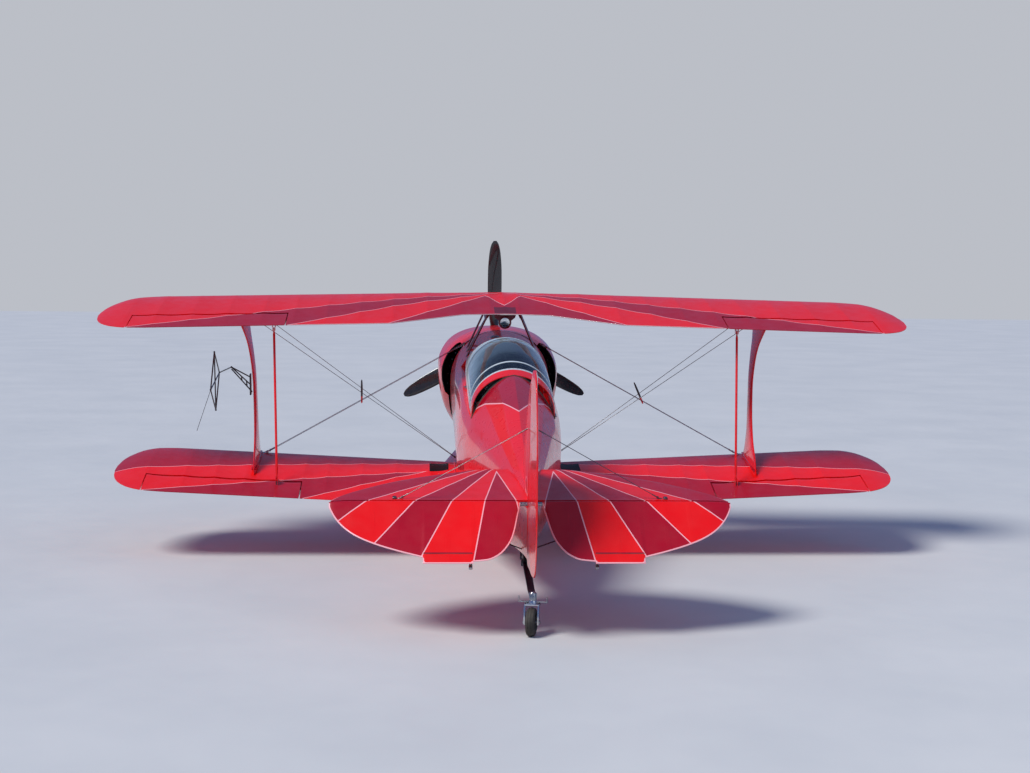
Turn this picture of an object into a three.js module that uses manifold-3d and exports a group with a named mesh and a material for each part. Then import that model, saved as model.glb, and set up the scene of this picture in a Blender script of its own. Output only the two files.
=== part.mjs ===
import * as THREE from "three";
import { mergeVertices } from "three/addons/utils/BufferGeometryUtils.js";
import Module from "manifold-3d";

// A two-seat aerobatic biplane, parked on its main wheels and tail wheel. Millimetres, +Z up.
// The part's frame: +X to starboard, +Y to the nose, the ground at z = 0, the origin under the
// middle of the box. The airframe's own frame has its origin at the propeller hub, with the
// thrust line along Y, and is pitched nose-up as the aircraft stands.

// Stance
const hubHeight = 1431;
const hubForward = 2536;
const noseUp = THREE.MathUtils.degToRad(10.23);
const gap = 0.3;
const runningGap = 6;
const overshoot = 1000;

// Wings
const wingChord = 1016;
const wingThickness = 0.118;
const upperHalfSpan = 3050;
const upperEdgeY = -976;
const upperZ = 637;
const sweep = Math.tan(THREE.MathUtils.degToRad(6.7));
const cutoutHalf = 330;
const cutoutEnd = 860;
const cutoutDepth = 265;
const lowerHalfSpan = 2895;
const lowerEdgeY = -1746;
const lowerZ = -585;
const dihedral = Math.tan(THREE.MathUtils.degToRad(2.9));
const tipLength = 400;
const upperAileron = [1650, 2775];
const lowerAileron = [1520, 2640];
const aileronEndGap = 8;
const aileronNose = 33;
const aileronBay = aileronNose + 7;
const hingeFromBack = 270;

// Tail
const tailHingeY = -4864;
const tailHingeZ = 160;
const elevatorDroop = THREE.MathUtils.degToRad(28);
const elevatorNose = 17;
const rudderHingeY = -4915;
const sternY = -4888;

// Gear
const tyreRadius = 180;
const tyreHalfWidth = 62;
const halfTrack = 800;
const axleRadius = 19;
const mainAxle = { y: -1114, z: tyreRadius };
const tailTyreRadius = 83;
const tailPivotY = -5045;
const tailAxleY = -5083;
const tailWheelTurn = THREE.MathUtils.degToRad(-14);

// Cockpit
const sillZ = 143;
const sternOfCanopy = -2950;
const frontOfCanopy = -2030;
const frontOfWindshield = -1420;
const glassThickness = 6;
const railHeight = 20;

const colours = {
  red: 0xe8202a, crimson: 0xa80c2c, black: 0x121214, dark: 0x2a2a2e, steel: 0x9a9ca0,
  rubber: 0x1c1c1c, glass: 0xb8d4e0, leather: 0x3a2a26, alloy: 0xb8bac0,
};

const wasm = await Module();
wasm.setup();

// Solids and meshes
function toSolid(geometry) {
  const plain = geometry.index ? geometry.toNonIndexed() : geometry.clone();
  const bare = new THREE.BufferGeometry().setAttribute("position", plain.getAttribute("position"));
  const merged = mergeVertices(bare, 1e-3);
  const made = new wasm.Manifold(new wasm.Mesh({
    numProp: 3,
    vertProperties: merged.attributes.position.array,
    triVerts: new Uint32Array(merged.index.array),
  }));
  if (made.volume() >= 0) return made;
  return toSolid(flipped(geometry));
}

function toGeometry(solid) {
  const mesh = solid.getMesh();
  const geometry = new THREE.BufferGeometry();
  geometry.setAttribute("position", new THREE.BufferAttribute(mesh.vertProperties, 3));
  geometry.setIndex(new THREE.BufferAttribute(mesh.triVerts, 1));
  geometry.computeVertexNormals();
  return geometry;
}

function flipped(geometry) {
  const turned = geometry.index ? geometry.toNonIndexed() : geometry.clone();
  const p = turned.attributes.position;
  for (let i = 0; i < p.count; i += 3) {
    const a = [p.getX(i), p.getY(i), p.getZ(i)];
    p.setXYZ(i, p.getX(i + 1), p.getY(i + 1), p.getZ(i + 1));
    p.setXYZ(i + 1, ...a);
  }
  return turned;
}

function portside(solid) {
  return toSolid(flipped(toGeometry(solid).scale(-1, 1, 1)));
}

function joined(solids) {
  return solids.reduce((sum, solid) => sum.add(solid));
}

function without(solid, cutters) {
  return cutters.reduce((rest, cutter) => rest.subtract(cutter), solid);
}

function boxOf(low, high) {
  const size = high.map((v, i) => v - low[i]);
  const centre = high.map((v, i) => (v + low[i]) / 2);
  return toSolid(new THREE.BoxGeometry(...size).translate(...centre));
}

// A closed skin over rings of like point counts; the port half is split as the mirror of the other
function loft(rings) {
  const count = rings[0].length;
  const positions = [];
  const index = [];
  const add = (p) => {
    positions.push(...p);
    return positions.length / 3 - 1;
  };
  const rows = rings.map((ring) => ring.map(add));
  for (let r = 0; r + 1 < rows.length; r++) {
    for (let i = 0; i < count; i++) {
      const j = (i + 1) % count;
      const [a, b, c, d] = [rows[r][i], rows[r][j], rows[r + 1][j], rows[r + 1][i]];
      const toPort = rings[r][i][0] + rings[r][j][0] + rings[r + 1][i][0] + rings[r + 1][j][0] < 0;
      if (toPort) index.push(a, b, d, b, c, d);
      else index.push(a, b, c, a, c, d);
    }
  }
  const cap = (row, ring, front) => {
    const middle = [0, 1, 2].map((k) => ring.reduce((sum, p) => sum + p[k], 0) / count);
    const centre = add(middle);
    for (let i = 0; i < count; i++) {
      const j = (i + 1) % count;
      if (front) index.push(centre, row[j], row[i]);
      else index.push(centre, row[i], row[j]);
    }
  };
  cap(rows[0], rings[0], true);
  cap(rows.at(-1), rings.at(-1), false);
  const geometry = new THREE.BufferGeometry();
  geometry.setAttribute("position", new THREE.Float32BufferAttribute(positions, 3));
  geometry.setIndex(index);
  return toSolid(geometry);
}

function rod(from, to, radius, sides = 8) {
  const a = new THREE.Vector3(...from);
  const b = new THREE.Vector3(...to);
  const way = b.clone().sub(a);
  const geometry = new THREE.CylinderGeometry(radius, radius, way.length(), sides);
  const turn = new THREE.Quaternion().setFromUnitVectors(new THREE.Vector3(0, 1, 0), way.normalize());
  geometry.applyQuaternion(turn).translate((a.x + b.x) / 2, (a.y + b.y) / 2, (a.z + b.z) / 2);
  return toSolid(geometry);
}

function between(from, to, share) {
  return from.map((v, i) => v + share * (to[i] - v));
}

// The point a distance past one end of a line, seen from its other end
function past(end, other, distance) {
  const way = new THREE.Vector3(...end).sub(new THREE.Vector3(...other)).normalize();
  return new THREE.Vector3(...end).addScaledVector(way, distance).toArray();
}

// A plate cut from an outline of (y, z) points, standing between two x values
function sidePlate(outline, x0, x1) {
  const shape = new THREE.Shape(outline.map(([y, z]) => new THREE.Vector2(y, z)));
  const geometry = new THREE.ExtrudeGeometry(shape, { depth: x1 - x0, bevelEnabled: false });
  geometry.rotateY(Math.PI / 2).rotateX(Math.PI / 2);
  return toSolid(geometry.translate(x0, 0, 0));
}

// A streamlined bar whose chord lies along Y
function fairedBar(from, to, chord, thickness, sides = 8) {
  const ringAt = (p) => Array.from({ length: sides }, (_, i) => {
    const t = (i / sides) * 2 * Math.PI;
    return [p[0] + (thickness / 2) * Math.sin(t), p[1] + (chord / 2) * Math.cos(t), p[2]];
  });
  return loft([ringAt(from), ringAt(to)]);
}

// A solid of revolution about an axis along X through (0, y, z); the profile is (x, radius) pairs
function turnedAboutX(profile, centre, steps = 24) {
  const points = profile.map(([x, r]) => new THREE.Vector2(r, x));
  const geometry = new THREE.LatheGeometry(points, steps).rotateZ(-Math.PI / 2);
  return toSolid(geometry.translate(...centre));
}

// From the part's frame, measured from under the hub, to the airframe's own frame
function toAirframe(y, z) {
  const s = Math.sin(noseUp);
  const c = Math.cos(noseUp);
  return { y: y * c + (z - hubHeight) * s, z: -y * s + (z - hubHeight) * c };
}

// Body sections: superellipses about a waist, rounder above it and squarer below
function bodyRing(s, grow = 0, steps = 24) {
  const ring = [];
  for (let i = 0; i < steps; i++) {
    const t = (i / steps) * 2 * Math.PI;
    const c = Math.cos(t);
    const up = Math.sin(t) >= 0;
    const power = 2 / (up ? s.upper : s.lower);
    const height = (up ? s.top - s.waist : s.waist - s.bottom) + grow;
    ring.push([
      (s.half + grow) * Math.sign(c) * Math.abs(c) ** power,
      s.y,
      s.waist + height * Math.sign(Math.sin(t)) * Math.abs(Math.sin(t)) ** power,
    ]);
  }
  return ring;
}

function sections(names, rows) {
  return rows.map((row) => Object.fromEntries(names.map((name, i) => [name, row[i]])));
}

const bodyColumns = ["y", "half", "top", "waist", "bottom", "upper", "lower"];

// Fuselage
const fuselageSections = sections(bodyColumns, [
  [-1000, 405, 345, -80, -585, 2.1, 3.0],
  [-1400, 388, 345, -80, -635, 2.0, 4.0],
  [-1800, 382, 400, -90, -660, 1.9, 4.5],
  [-2400, 380, 450, -95, -660, 1.8, 4.5],
  [-2950, 345, 458, -90, -610, 1.7, 4.0],
  [-3300, 290, 418, -60, -548, 1.7, 3.6],
  [-3800, 205, 335, 0, -450, 1.8, 3.2],
  [-4300, 112, 262, 60, -330, 2.0, 3.0],
  [-4700, 42, 215, 90, -235, 2.2, 3.0],
  [sternY, 22, 196, 90, -200, 2.4, 3.2],
]);

function fuselageBody(grow = 0) {
  return loft(fuselageSections.map((s) => bodyRing(s, grow)));
}

const tub = { half: 262, front: -1500, back: -2880, floor: -455 };

// The bore that the elevators' torque tube turns in, through the stern and the fin's foot
const tubeRadius = 12;
const tubeBore = rod([-100, tailHingeY, tailHingeZ], [100, tailHingeY, tailHingeZ], tubeRadius + 0.6, 16);

// The rudder turns on three lugs that stand behind the stern post, one on the body and two on the fin
const lugHeights = { body: 0, fin: [450, 800] };
const lug = { half: 8, thick: 3, radius: 10, notchRadius: 14 };

function rudderLug(z) {
  const plate = boxOf([-lug.half, rudderHingeY, z - lug.thick], [lug.half, sternY + 10, z + lug.thick]);
  return plate.add(rod([0, rudderHingeY, z - lug.thick], [0, rudderHingeY, z + lug.thick], lug.radius, 12));
}

function rudderNotch(z) {
  const t = lug.thick + gap;
  const mouth = boxOf([-40, rudderHingeY, z - t], [40, rudderHingeY + 40, z + t]);
  return mouth.add(rod([0, rudderHingeY, z - t], [0, rudderHingeY, z + t], lug.notchRadius, 12));
}

function fuselage() {
  const aboveSill = boxOf([-overshoot, sternOfCanopy, sillZ], [overshoot, frontOfWindshield, overshoot]);
  const hollow = boxOf([-tub.half, tub.back, tub.floor], [tub.half, tub.front, overshoot]);
  return without(fuselageBody(), [aboveSill, hollow, tubeBore]).add(rudderLug(lugHeights.body));
}

// Cowling: a shell with two inlets beside the spinner, an outlet under the firewall and one in
// each cheek, where the cowling stands out past the fuselage
const cowlSections = sections(bodyColumns, [
  [-62, 345, 150, -10, -215, 2.4, 2.4],
  [-110, 405, 190, -20, -275, 2.3, 2.3],
  [-230, 465, 222, -45, -365, 2.2, 2.3],
  [-450, 500, 262, -75, -455, 2.1, 2.4],
  [-700, 496, 312, -80, -525, 2.1, 2.6],
  [-860, 478, 330, -80, -560, 2.1, 2.75],
  [-999.7, 420, 345, -80, -590, 2.1, 2.9],
]);
const cowlThickness = 14;
const cowlSplitZ = -20;

function cowlOuter(grow = 0) {
  return loft(cowlSections.map((s) => bodyRing(s, grow, 28)));
}

// The cowling parts along its sides into an upper and a lower half
function cowlingHalves() {
  const inner = cowlSections.map((s) => bodyRing(s, -cowlThickness, 28));
  inner.forEach((ring, i) => ring.forEach((p) => {
    if (i === 0) p[1] -= cowlThickness;
    if (i === cowlSections.length - 1) p[1] -= 10;
  }));
  const inlet = boxOf([120, -140, -90], [290, 0, 50]);
  const scoop = boxOf([-110, -180, -205], [110, 0, -130]);
  const shaftHole = rod([0, -140, 0], [0, 0, 0], 95, 20);
  const outlet = boxOf([-200, -990, -700], [200, -800, -460]);
  const cheekOutlet = boxOf([250, -overshoot, -130], [overshoot, -860, 190]);
  const holes = [inlet, portside(inlet), scoop, shaftHole, outlet, cheekOutlet, portside(cheekOutlet)];
  const whole = without(cowlOuter(), [loft(inner), ...holes]);
  const above = boxOf([-overshoot, -overshoot, cowlSplitZ], [overshoot, 0, overshoot]);
  const below = boxOf([-overshoot, -overshoot, -overshoot], [overshoot, 0, cowlSplitZ - gap]);
  return { top: whole.intersect(above), bottom: whole.intersect(below) };
}

const propellerBack = -45;
const engine = { half: 330, back: -999.7, front: -235, low: -250, top: 125 };
const exhaustPipe = { x: 150, y: -860, radius: 30, bend: -550, end: [-930, -690] };

function exhaust() {
  const { x, y, radius, bend, end } = exhaustPipe;
  return rod([x, y, engine.low + 10], [x, y, bend - 10], radius, 12)
    .add(rod([x, y + 2, bend + 10], [x, ...end], radius, 12));
}

// The engine as one plain block, with its shaft and its two exhaust pipes
function engineBlock() {
  const block = boxOf([-engine.half, engine.back, engine.low], [engine.half, engine.front, engine.top]);
  const shaft = rod([0, engine.front - 20, 0], [0, propellerBack - gap, 0], 50, 16);
  return joined([block, shaft, exhaust(), portside(exhaust())]);
}

// Propeller
const bladeLength = 920;
const bladePlane = 10;
const bladeTurns = [0, 1, 2].map((i) => (i * 2 * Math.PI) / 3 - THREE.MathUtils.degToRad(0.6));
const propellerHub = { radius: 72, front: 70 };
const bladeSections = sections(["r", "chord", "thickness", "twist"], [
  [60, 78, 78, 60], [150, 84, 70, 52], [240, 118, 40, 40], [420, 140, 26, 29],
  [640, 132, 17, 22], [810, 104, 12, 18], [890, 66, 9, 17], [bladeLength, 26, 6, 17],
]);

function propellerBlade() {
  return loft(bladeSections.map((s) => {
    const twist = THREE.MathUtils.degToRad(s.twist);
    return Array.from({ length: 8 }, (_, i) => {
      const t = (i / 8) * 2 * Math.PI;
      const along = (s.chord / 2) * Math.cos(t);
      const across = (s.thickness / 2) * Math.sin(t);
      const x = along * Math.cos(twist) - across * Math.sin(twist);
      const y = along * Math.sin(twist) + across * Math.cos(twist);
      return [x, y + bladePlane, s.r];
    });
  }));
}

function propeller() {
  const hub = rod([0, propellerBack, 0], [0, propellerHub.front, 0], propellerHub.radius, 20);
  const blades = bladeTurns.map((turn) => toSolid(toGeometry(propellerBlade()).rotateY(turn)));
  return joined([hub, ...blades]);
}

function spinner() {
  const profile = [
    [-44, 0], [-44, 164], [-20, 168], [40, 158], [110, 130], [170, 94], [215, 54], [240, 18], [243, 0],
  ].map(([y, r]) => new THREE.Vector2(r, y));
  const cone = toSolid(new THREE.LatheGeometry(profile, 24));
  const hubSpace = rod([0, -60, 0], [0, propellerHub.front + gap, 0], propellerHub.radius + gap, 20);
  const rootHoles = bladeTurns.map((turn) => rod(
    [0, bladePlane, 0], [Math.sin(turn) * 200, bladePlane, Math.cos(turn) * 200], 48, 12,
  ));
  return without(cone, [hubSpace, ...rootHoles]);
}

// Wings
const profileSteps = 8;

// Closed outline of a symmetrical section, from the trailing edge over the top and back below.
// leading and trailing are y values, z is the chord line's height
function wingRing(x, leading, trailing, z, ratio, grow = 0) {
  const chord = leading - trailing;
  const half = (c) => {
    const t = 5 * ratio * (0.2969 * Math.sqrt(c) - 0.126 * c - 0.3516 * c ** 2
      + 0.2843 * c ** 3 - 0.1036 * c ** 4);
    return t * wingChord * Math.min(1, chord / wingChord + 0.12);
  };
  const top = [];
  const bottom = [];
  for (let i = 0; i <= profileSteps; i++) {
    const c = (1 - Math.cos((i / profileSteps) * Math.PI)) / 2;
    const y = leading + grow - c * (chord + 2 * grow);
    const h = Math.max(half(c), i === profileSteps ? 3 : 0) + (i > 0 ? grow : 0);
    top.push([x, y, z + h]);
    if (i > 0) bottom.push([x, y, z - h]);
  }
  return [...top.reverse(), ...bottom];
}

// Rounded tip: how far the edges draw in, as a share of the chord, and the thickness left
const tipRows = sections(["along", "front", "back", "thickness"], [
  [0.35, 0.02, 0.01, 0.94], [0.62, 0.09, 0.045, 0.8], [0.82, 0.21, 0.11, 0.6],
  [0.95, 0.36, 0.2, 0.38], [1, 0.5, 0.3, 0.2],
]);

function wingRings(stations, edgeAt, backAt, heightAt, halfSpan, grow) {
  const rings = stations.map((x) => wingRing(x, edgeAt(x), backAt(x), heightAt(x), wingThickness, grow));
  for (const row of tipRows) {
    const x = halfSpan - tipLength + row.along * tipLength;
    const front = edgeAt(x) - row.front * wingChord;
    const back = backAt(x) + row.back * wingChord;
    rings.push(wingRing(x, front, back, heightAt(x), wingThickness * row.thickness, grow));
  }
  return rings;
}

const upperEdgeAt = (x) => upperEdgeY - Math.abs(x) * sweep;

function upperBackAt(x) {
  const a = Math.abs(x);
  const whole = upperEdgeAt(a) - wingChord;
  if (a >= cutoutEnd) return whole;
  const share = Math.min(1, (cutoutEnd - a) / (cutoutEnd - cutoutHalf));
  return whole + share * cutoutDepth;
}

function upperHalfWing(grow = 0) {
  const stations = [0, cutoutHalf, cutoutEnd, 1640, upperHalfSpan - tipLength];
  return loft(wingRings(stations, upperEdgeAt, upperBackAt, () => upperZ, upperHalfSpan, grow));
}

function upperWhole(grow = 0) {
  const half = upperHalfWing(grow);
  return half.add(portside(half));
}

const lowerHeightAt = (x) => lowerZ + Math.abs(x) * dihedral;

function lowerWhole(grow = 0) {
  const stations = [250, 1510, lowerHalfSpan - tipLength];
  const back = () => lowerEdgeY - wingChord;
  return loft(wingRings(stations, () => lowerEdgeY, back, lowerHeightAt, lowerHalfSpan, grow));
}

// Where an aileron's hinge line runs, between its two end stations
function hingeLine(upper) {
  const [inner, outer] = upper ? upperAileron : lowerAileron;
  const at = (x) => {
    const trailing = upper ? upperBackAt(x) : lowerEdgeY - wingChord;
    const z = upper ? upperZ : lowerHeightAt(x);
    return [x, trailing + hingeFromBack, z];
  };
  return { inner, outer, at, from: at(inner), to: at(outer) };
}

// A cylinder along the hinge line, lengthened past both ends
function hingeCylinder(line, radius, longer) {
  return rod(past(line.from, line.to, longer), past(line.to, line.from, longer), radius, 20);
}

// A pin on the hinge line at each end of the aileron, reaching in by one length and out by another
function hingePins(line, radius, reach, longer) {
  return [[line.from, line.to], [line.to, line.from]].map(
    ([end, other]) => rod(past(end, other, longer), past(end, other, -reach), radius, 12),
  );
}

const hingePin = { radius: 6, bore: 6.6, reach: 12, root: 10 };

// The wing's stretch behind the hinge line, between two stations
function aileronBlock(line, spread) {
  const [x0, x1] = [line.inner - spread, line.outer + spread];
  const slope = (line.to[1] - line.from[1]) / (line.outer - line.inner);
  const hingeAt = (x) => line.from[1] + slope * (x - line.inner);
  const block = new THREE.BoxGeometry(x1 - x0, 1, 600).translate((x0 + x1) / 2, 0, line.from[2]);
  const p = block.attributes.position;
  for (let i = 0; i < p.count; i++) {
    p.setY(i, p.getY(i) > 0 ? hingeAt(p.getX(i)) : hingeAt(p.getX(i)) - 600);
  }
  return toSolid(block);
}

function wingWithBay(whole, upper) {
  const line = hingeLine(upper);
  const wing = without(whole, [
    aileronBlock(line, aileronEndGap), hingeCylinder(line, aileronBay, aileronEndGap),
  ]);
  return joined([wing, ...hingePins(line, hingePin.radius, hingePin.reach, aileronEndGap + hingePin.root)]);
}

// The slave strut's pin lines lie behind the hinges, on the chord lines. Its round tips stop short
// of the skins, between two ears that stand on each aileron
const slavePin = { x: 1745, footX: 1690, behind: 58 };
const slaveTip = { fromPin: 66, radius: 5, toEars: 14, lowerClearance: 1.3, upperClearance: 2.5 };
const ear = { thickness: 3, outline: [[-12, 0], [66, 0], [56, 50], [46, 78], [10, 78], [-8, 50]] };

function pinAt(upper) {
  const line = hingeLine(upper);
  const [x, y, z] = line.at(upper ? slavePin.x : slavePin.footX);
  return [x, y - slavePin.behind, z];
}

const slaveWay = new THREE.Vector3(...pinAt(true)).sub(new THREE.Vector3(...pinAt(false))).normalize();

function alongSlave(upper, distance) {
  return new THREE.Vector3(...pinAt(upper)).addScaledVector(slaveWay, upper ? -distance : distance).toArray();
}

function ears(upper) {
  const side = upper ? -1 : 1;
  const pin = pinAt(upper);
  const x = alongSlave(upper, slaveTip.fromPin + slaveTip.toEars)[0];
  const inner = slaveTip.radius + (upper ? slaveTip.upperClearance : slaveTip.lowerClearance);
  const outline = ear.outline.map(([y, z]) => [pin[1] + side * y, pin[2] + side * z]);
  return joined([
    sidePlate(outline, x + inner, x + inner + ear.thickness),
    sidePlate(outline, x - inner - ear.thickness, x - inner),
  ]);
}

function aileron(whole, upper) {
  const line = hingeLine(upper);
  const blade = whole.intersect(aileronBlock(line, 0));
  const nose = hingeCylinder(line, aileronNose, 0).intersect(whole);
  const bores = hingePins(line, hingePin.bore, hingePin.reach + 2, 20);
  return without(joined([blade, nose, ears(upper)]), bores);
}

// Struts
const strutTop = { x: 1950, z: upperZ - 20 };
const strutFoot = { x: 1872, z: lowerZ + 20 + 1872 * dihedral };

function interplaneStrut(cutters) {
  const outline = sections(["share", "front", "back"], [
    [0, -1830, -2420], [0.1, -1890, -2310], [0.2, -1890, -2145], [0.36, -1830, -1985],
    [0.62, -1690, -1840], [0.8, -1560, -1790], [0.9, -1440, -1815], [1, -1370, -1850],
  ]);
  const thickness = 30;
  const rings = outline.map((row) => {
    const x = strutFoot.x + row.share * (strutTop.x - strutFoot.x);
    const z = strutFoot.z + row.share * (strutTop.z - strutFoot.z);
    const middle = (row.front + row.back) / 2;
    const half = (row.front - row.back) / 2;
    return Array.from({ length: 10 }, (_, i) => {
      const t = (i / 10) * 2 * Math.PI;
      return [x + (thickness / 2) * Math.sin(t), middle + half * Math.cos(t), z];
    });
  });
  return without(loft(rings), cutters);
}

function slaveStrut() {
  const { fromPin, radius } = slaveTip;
  const from = new THREE.Vector3(...alongSlave(false, fromPin));
  const to = new THREE.Vector3(...alongSlave(true, fromPin));
  const half = from.distanceTo(to) / 2;
  const tip = [[0, half + radius], [radius * 0.8, half + 3], [radius, half], [radius, half - 30], [9, half - 45]];
  const profile = [...tip.map(([r, y]) => [r, -y]), ...tip.reverse()];
  const bar = new THREE.LatheGeometry(profile.map(([r, y]) => new THREE.Vector2(r, y)), 8);
  const turn = new THREE.Quaternion().setFromUnitVectors(new THREE.Vector3(0, 1, 0), slaveWay);
  return toSolid(bar.applyQuaternion(turn).translate(...from.add(to).divideScalar(2).toArray()));
}

// Cabane struts, from the upper longeron to the wing's middle
const cabaneFeet = sections(["footX", "footY", "footZ", "topX", "topY"], [
  [345, -1100, 60, 118, -1190], [345, -1280, 60, 118, -1500], [345, -1100, 60, 118, -1500],
]);

function cabane(cutters) {
  const topZ = upperZ - 10;
  const ends = cabaneFeet.map((row) => [
    [row.footX, row.footY, row.footZ], [row.topX, row.topY, topZ],
  ]);
  const bars = ends.map(([foot, top]) => fairedBar(foot, top, 30, 15));
  const [front, rear] = ends.map(([foot, top]) => between(foot, top, 0.895));
  return without(joined([...bars, rod(front, rear, 9)]), cutters);
}

// Wires
const wireRadius = 4;

function flyingWires(cutters) {
  const foot = [335, -1800, -520];
  const tops = [[1905, -1500, upperZ - 15], [1905, -1760, upperZ - 15]];
  const wires = tops.map((top) => rod(foot, top, wireRadius, 6));
  const lug = rod([300, -1800, -543], [430, -1800, -458], 11, 8);
  return without(joined([...wires, lug]), cutters);
}

const landingLow = [1850, -1830, lowerZ + 1850 * dihedral + 20];
const landingHigh = [300, -1400, 330];

function landingWires(cutters) {
  const wires = [-1, 1].map((k) => rod(
    [landingLow[0], landingLow[1] + k * 14, landingLow[2]],
    [landingHigh[0], landingHigh[1] + k * 14, landingHigh[2]], wireRadius, 6,
  ));
  const lug = rod(landingLow, between(landingLow, landingHigh, 0.045), 20, 8);
  const [x, y, z] = between(landingLow, landingHigh, 0.48);
  const spindle = rod([x, y, z - 95], [x, y, z + 95], 20, 8);
  return without(joined([...wires, lug, spindle]), cutters);
}

// Sighting frame: a diamond of rods beside the left I-strut, with its arms and clamp
function sightFrame(cutters) {
  const plane = -2200;
  const centre = { y: -1915, z: 140 };
  const reach = 226;
  const top = [plane, centre.y, centre.z + reach];
  const low = [plane, centre.y, centre.z - reach];
  const aft = [plane, centre.y - reach - 40, centre.z];
  const fore = [plane, centre.y + reach + 40, centre.z];
  const apex = [-2075, centre.y, centre.z + 110];
  const onStrut = (z) => {
    const share = (z - strutFoot.z) / (strutTop.z - strutFoot.z);
    return [-(strutFoot.x + share * (strutTop.x - strutFoot.x)), centre.y - 10, z];
  };
  const clamp = [onStrut(centre.z + 35), onStrut(centre.z - 25), onStrut(centre.z - 75)];
  const pairs = [
    [top, aft], [aft, low], [low, fore], [fore, top], [top, low], [aft, fore],
    [aft, apex], [fore, apex], [apex, clamp[0]], [fore, clamp[1]], [aft, clamp[1]], [low, clamp[2]],
  ];
  const rods = pairs.map(([a, b]) => rod(a, b, 6, 5));
  const strap = rod(
    [clamp[0][0], clamp[0][1] - 2, clamp[0][2] + 25], [clamp[2][0], clamp[2][1] - 2, clamp[2][2] - 25], 20, 8,
  );
  return without(joined([...rods, strap]), cutters);
}

// The round mirror under the wing's middle: half a flattened ball on a stem, open side aft
const mirrorPlace = { y: -1650, z: upperZ - 98, radius: 55 };

function mirror(cutters) {
  const { y, z, radius } = mirrorPlace;
  const ball = toSolid(new THREE.SphereGeometry(radius, 16, 10).scale(1, 0.7, 1).translate(0, y, z));
  const aft = boxOf([-radius, y - radius, z - radius], [radius, y - 18, z + radius]);
  const stem = rod([0, y + 5, z + 18], [0, y + 5, upperZ], 12);
  return without(ball.subtract(aft).add(stem), cutters);
}

// Windshield and canopy
const canopySections = sections(bodyColumns, [
  [frontOfWindshield - gap, 285, 322, 190, 60, 2.0, 8],
  [-1640, 300, 418, 200, 60, 2.0, 8],
  [-1840, 303, 480, 205, 60, 2.0, 8],
  [frontOfCanopy, 304, 516, 210, 60, 2.0, 8],
  [-2250, 304, 536, 210, 60, 2.0, 8],
  [-2500, 303, 532, 205, 60, 2.0, 8],
  [-2750, 299, 500, 200, 60, 2.0, 8],
  [sternOfCanopy + gap, 292, 455, 190, 60, 2.0, 8],
]);

function bubble(from, to, grow) {
  const picked = canopySections.filter((s) => s.y <= from && s.y >= to);
  const rings = picked.map((s) => bodyRing(s, grow, 28));
  if (grow < 0) {
    const moved = (ring, step) => ring.map((p) => [p[0], p[1] + step, p[2]]);
    rings.unshift(moved(rings[0], 20));
    rings.push(moved(rings.at(-1), -20));
  }
  return loft(rings);
}

// A block across the whole cockpit, between two y values and two heights
function slab(back, front, low, top) {
  return boxOf([-overshoot, back, low], [overshoot, front, top]);
}

function windshield() {
  const shell = bubble(frontOfWindshield, frontOfCanopy, 0)
    .subtract(bubble(frontOfWindshield, frontOfCanopy, -glassThickness));
  const back = frontOfCanopy + runningGap;
  return shell.intersect(slab(back, frontOfWindshield, sillZ + gap, overshoot));
}

const frameThickness = 18;
const bowWidth = 26;
const sternBand = 40;

function canopyParts() {
  const outer = bubble(frontOfCanopy, sternOfCanopy, 0);
  const shell = outer.subtract(bubble(frontOfCanopy, sternOfCanopy, -glassThickness));
  const thick = outer.subtract(bubble(frontOfCanopy, sternOfCanopy, -frameThickness));
  const low = sillZ + gap;
  const top = low + railHeight;
  const back = sternOfCanopy + runningGap;
  const frame = thick.intersect(joined([
    slab(back, frontOfCanopy, low, top),
    slab(frontOfCanopy - bowWidth, frontOfCanopy, low, overshoot),
    slab(back, sternOfCanopy + sternBand, low, overshoot),
  ]));
  const pane = slab(sternOfCanopy + sternBand + gap, frontOfCanopy - bowWidth - gap, top + gap, overshoot);
  return { frame, glass: shell.intersect(pane) };
}

// Cockpit fittings
const seatShape = { half: 205, depth: 330, height: 520, panLow: -330, panTop: -300, lean: 13 };

function seat(y) {
  const { half, depth, height, panLow, panTop } = seatShape;
  const pan = boxOf([-half, y - 20, panLow], [half, y + depth, panTop]);
  const back = toSolid(toGeometry(boxOf([-half, -25, 0], [half, 0, height]))
    .rotateX(THREE.MathUtils.degToRad(seatShape.lean)).translate(0, y, panLow + 10));
  const bearers = [20, depth - 50].map((start) => boxOf(
    [-half + 20, y + start, tub.floor + gap], [half - 20, y + start + 40, panLow + 10],
  ));
  return joined([pan, back, ...bearers]);
}

// A cushion for a seat's pan, and one for its back
function seatCushions(y) {
  const { half, depth, height, panTop } = seatShape;
  const base = boxOf([-half + 12, y + 22, panTop + gap], [half - 12, y + depth - 6, panTop + 62]);
  const lean = THREE.MathUtils.degToRad(seatShape.lean);
  const back = toSolid(toGeometry(boxOf([-half + 12, gap, 45], [half - 12, 50, height - 30]))
    .rotateX(lean).translate(0, y, seatShape.panLow + 10));
  return { base, back };
}

// A panel from wall to wall of the tub, with an arched top
function instrumentPanel(y, top) {
  const half = tub.half - gap;
  const archFoot = 150;
  const shape = new THREE.Shape();
  shape.moveTo(-half, -150);
  shape.lineTo(half, -150);
  shape.lineTo(half, archFoot);
  shape.absellipse(0, archFoot, half, top - archFoot, 0, Math.PI);
  const depth = 22;
  const geometry = new THREE.ExtrudeGeometry(shape, { depth, bevelEnabled: false, curveSegments: 12 });
  return toSolid(geometry.rotateX(Math.PI / 2).translate(0, y + depth, 0));
}

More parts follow.
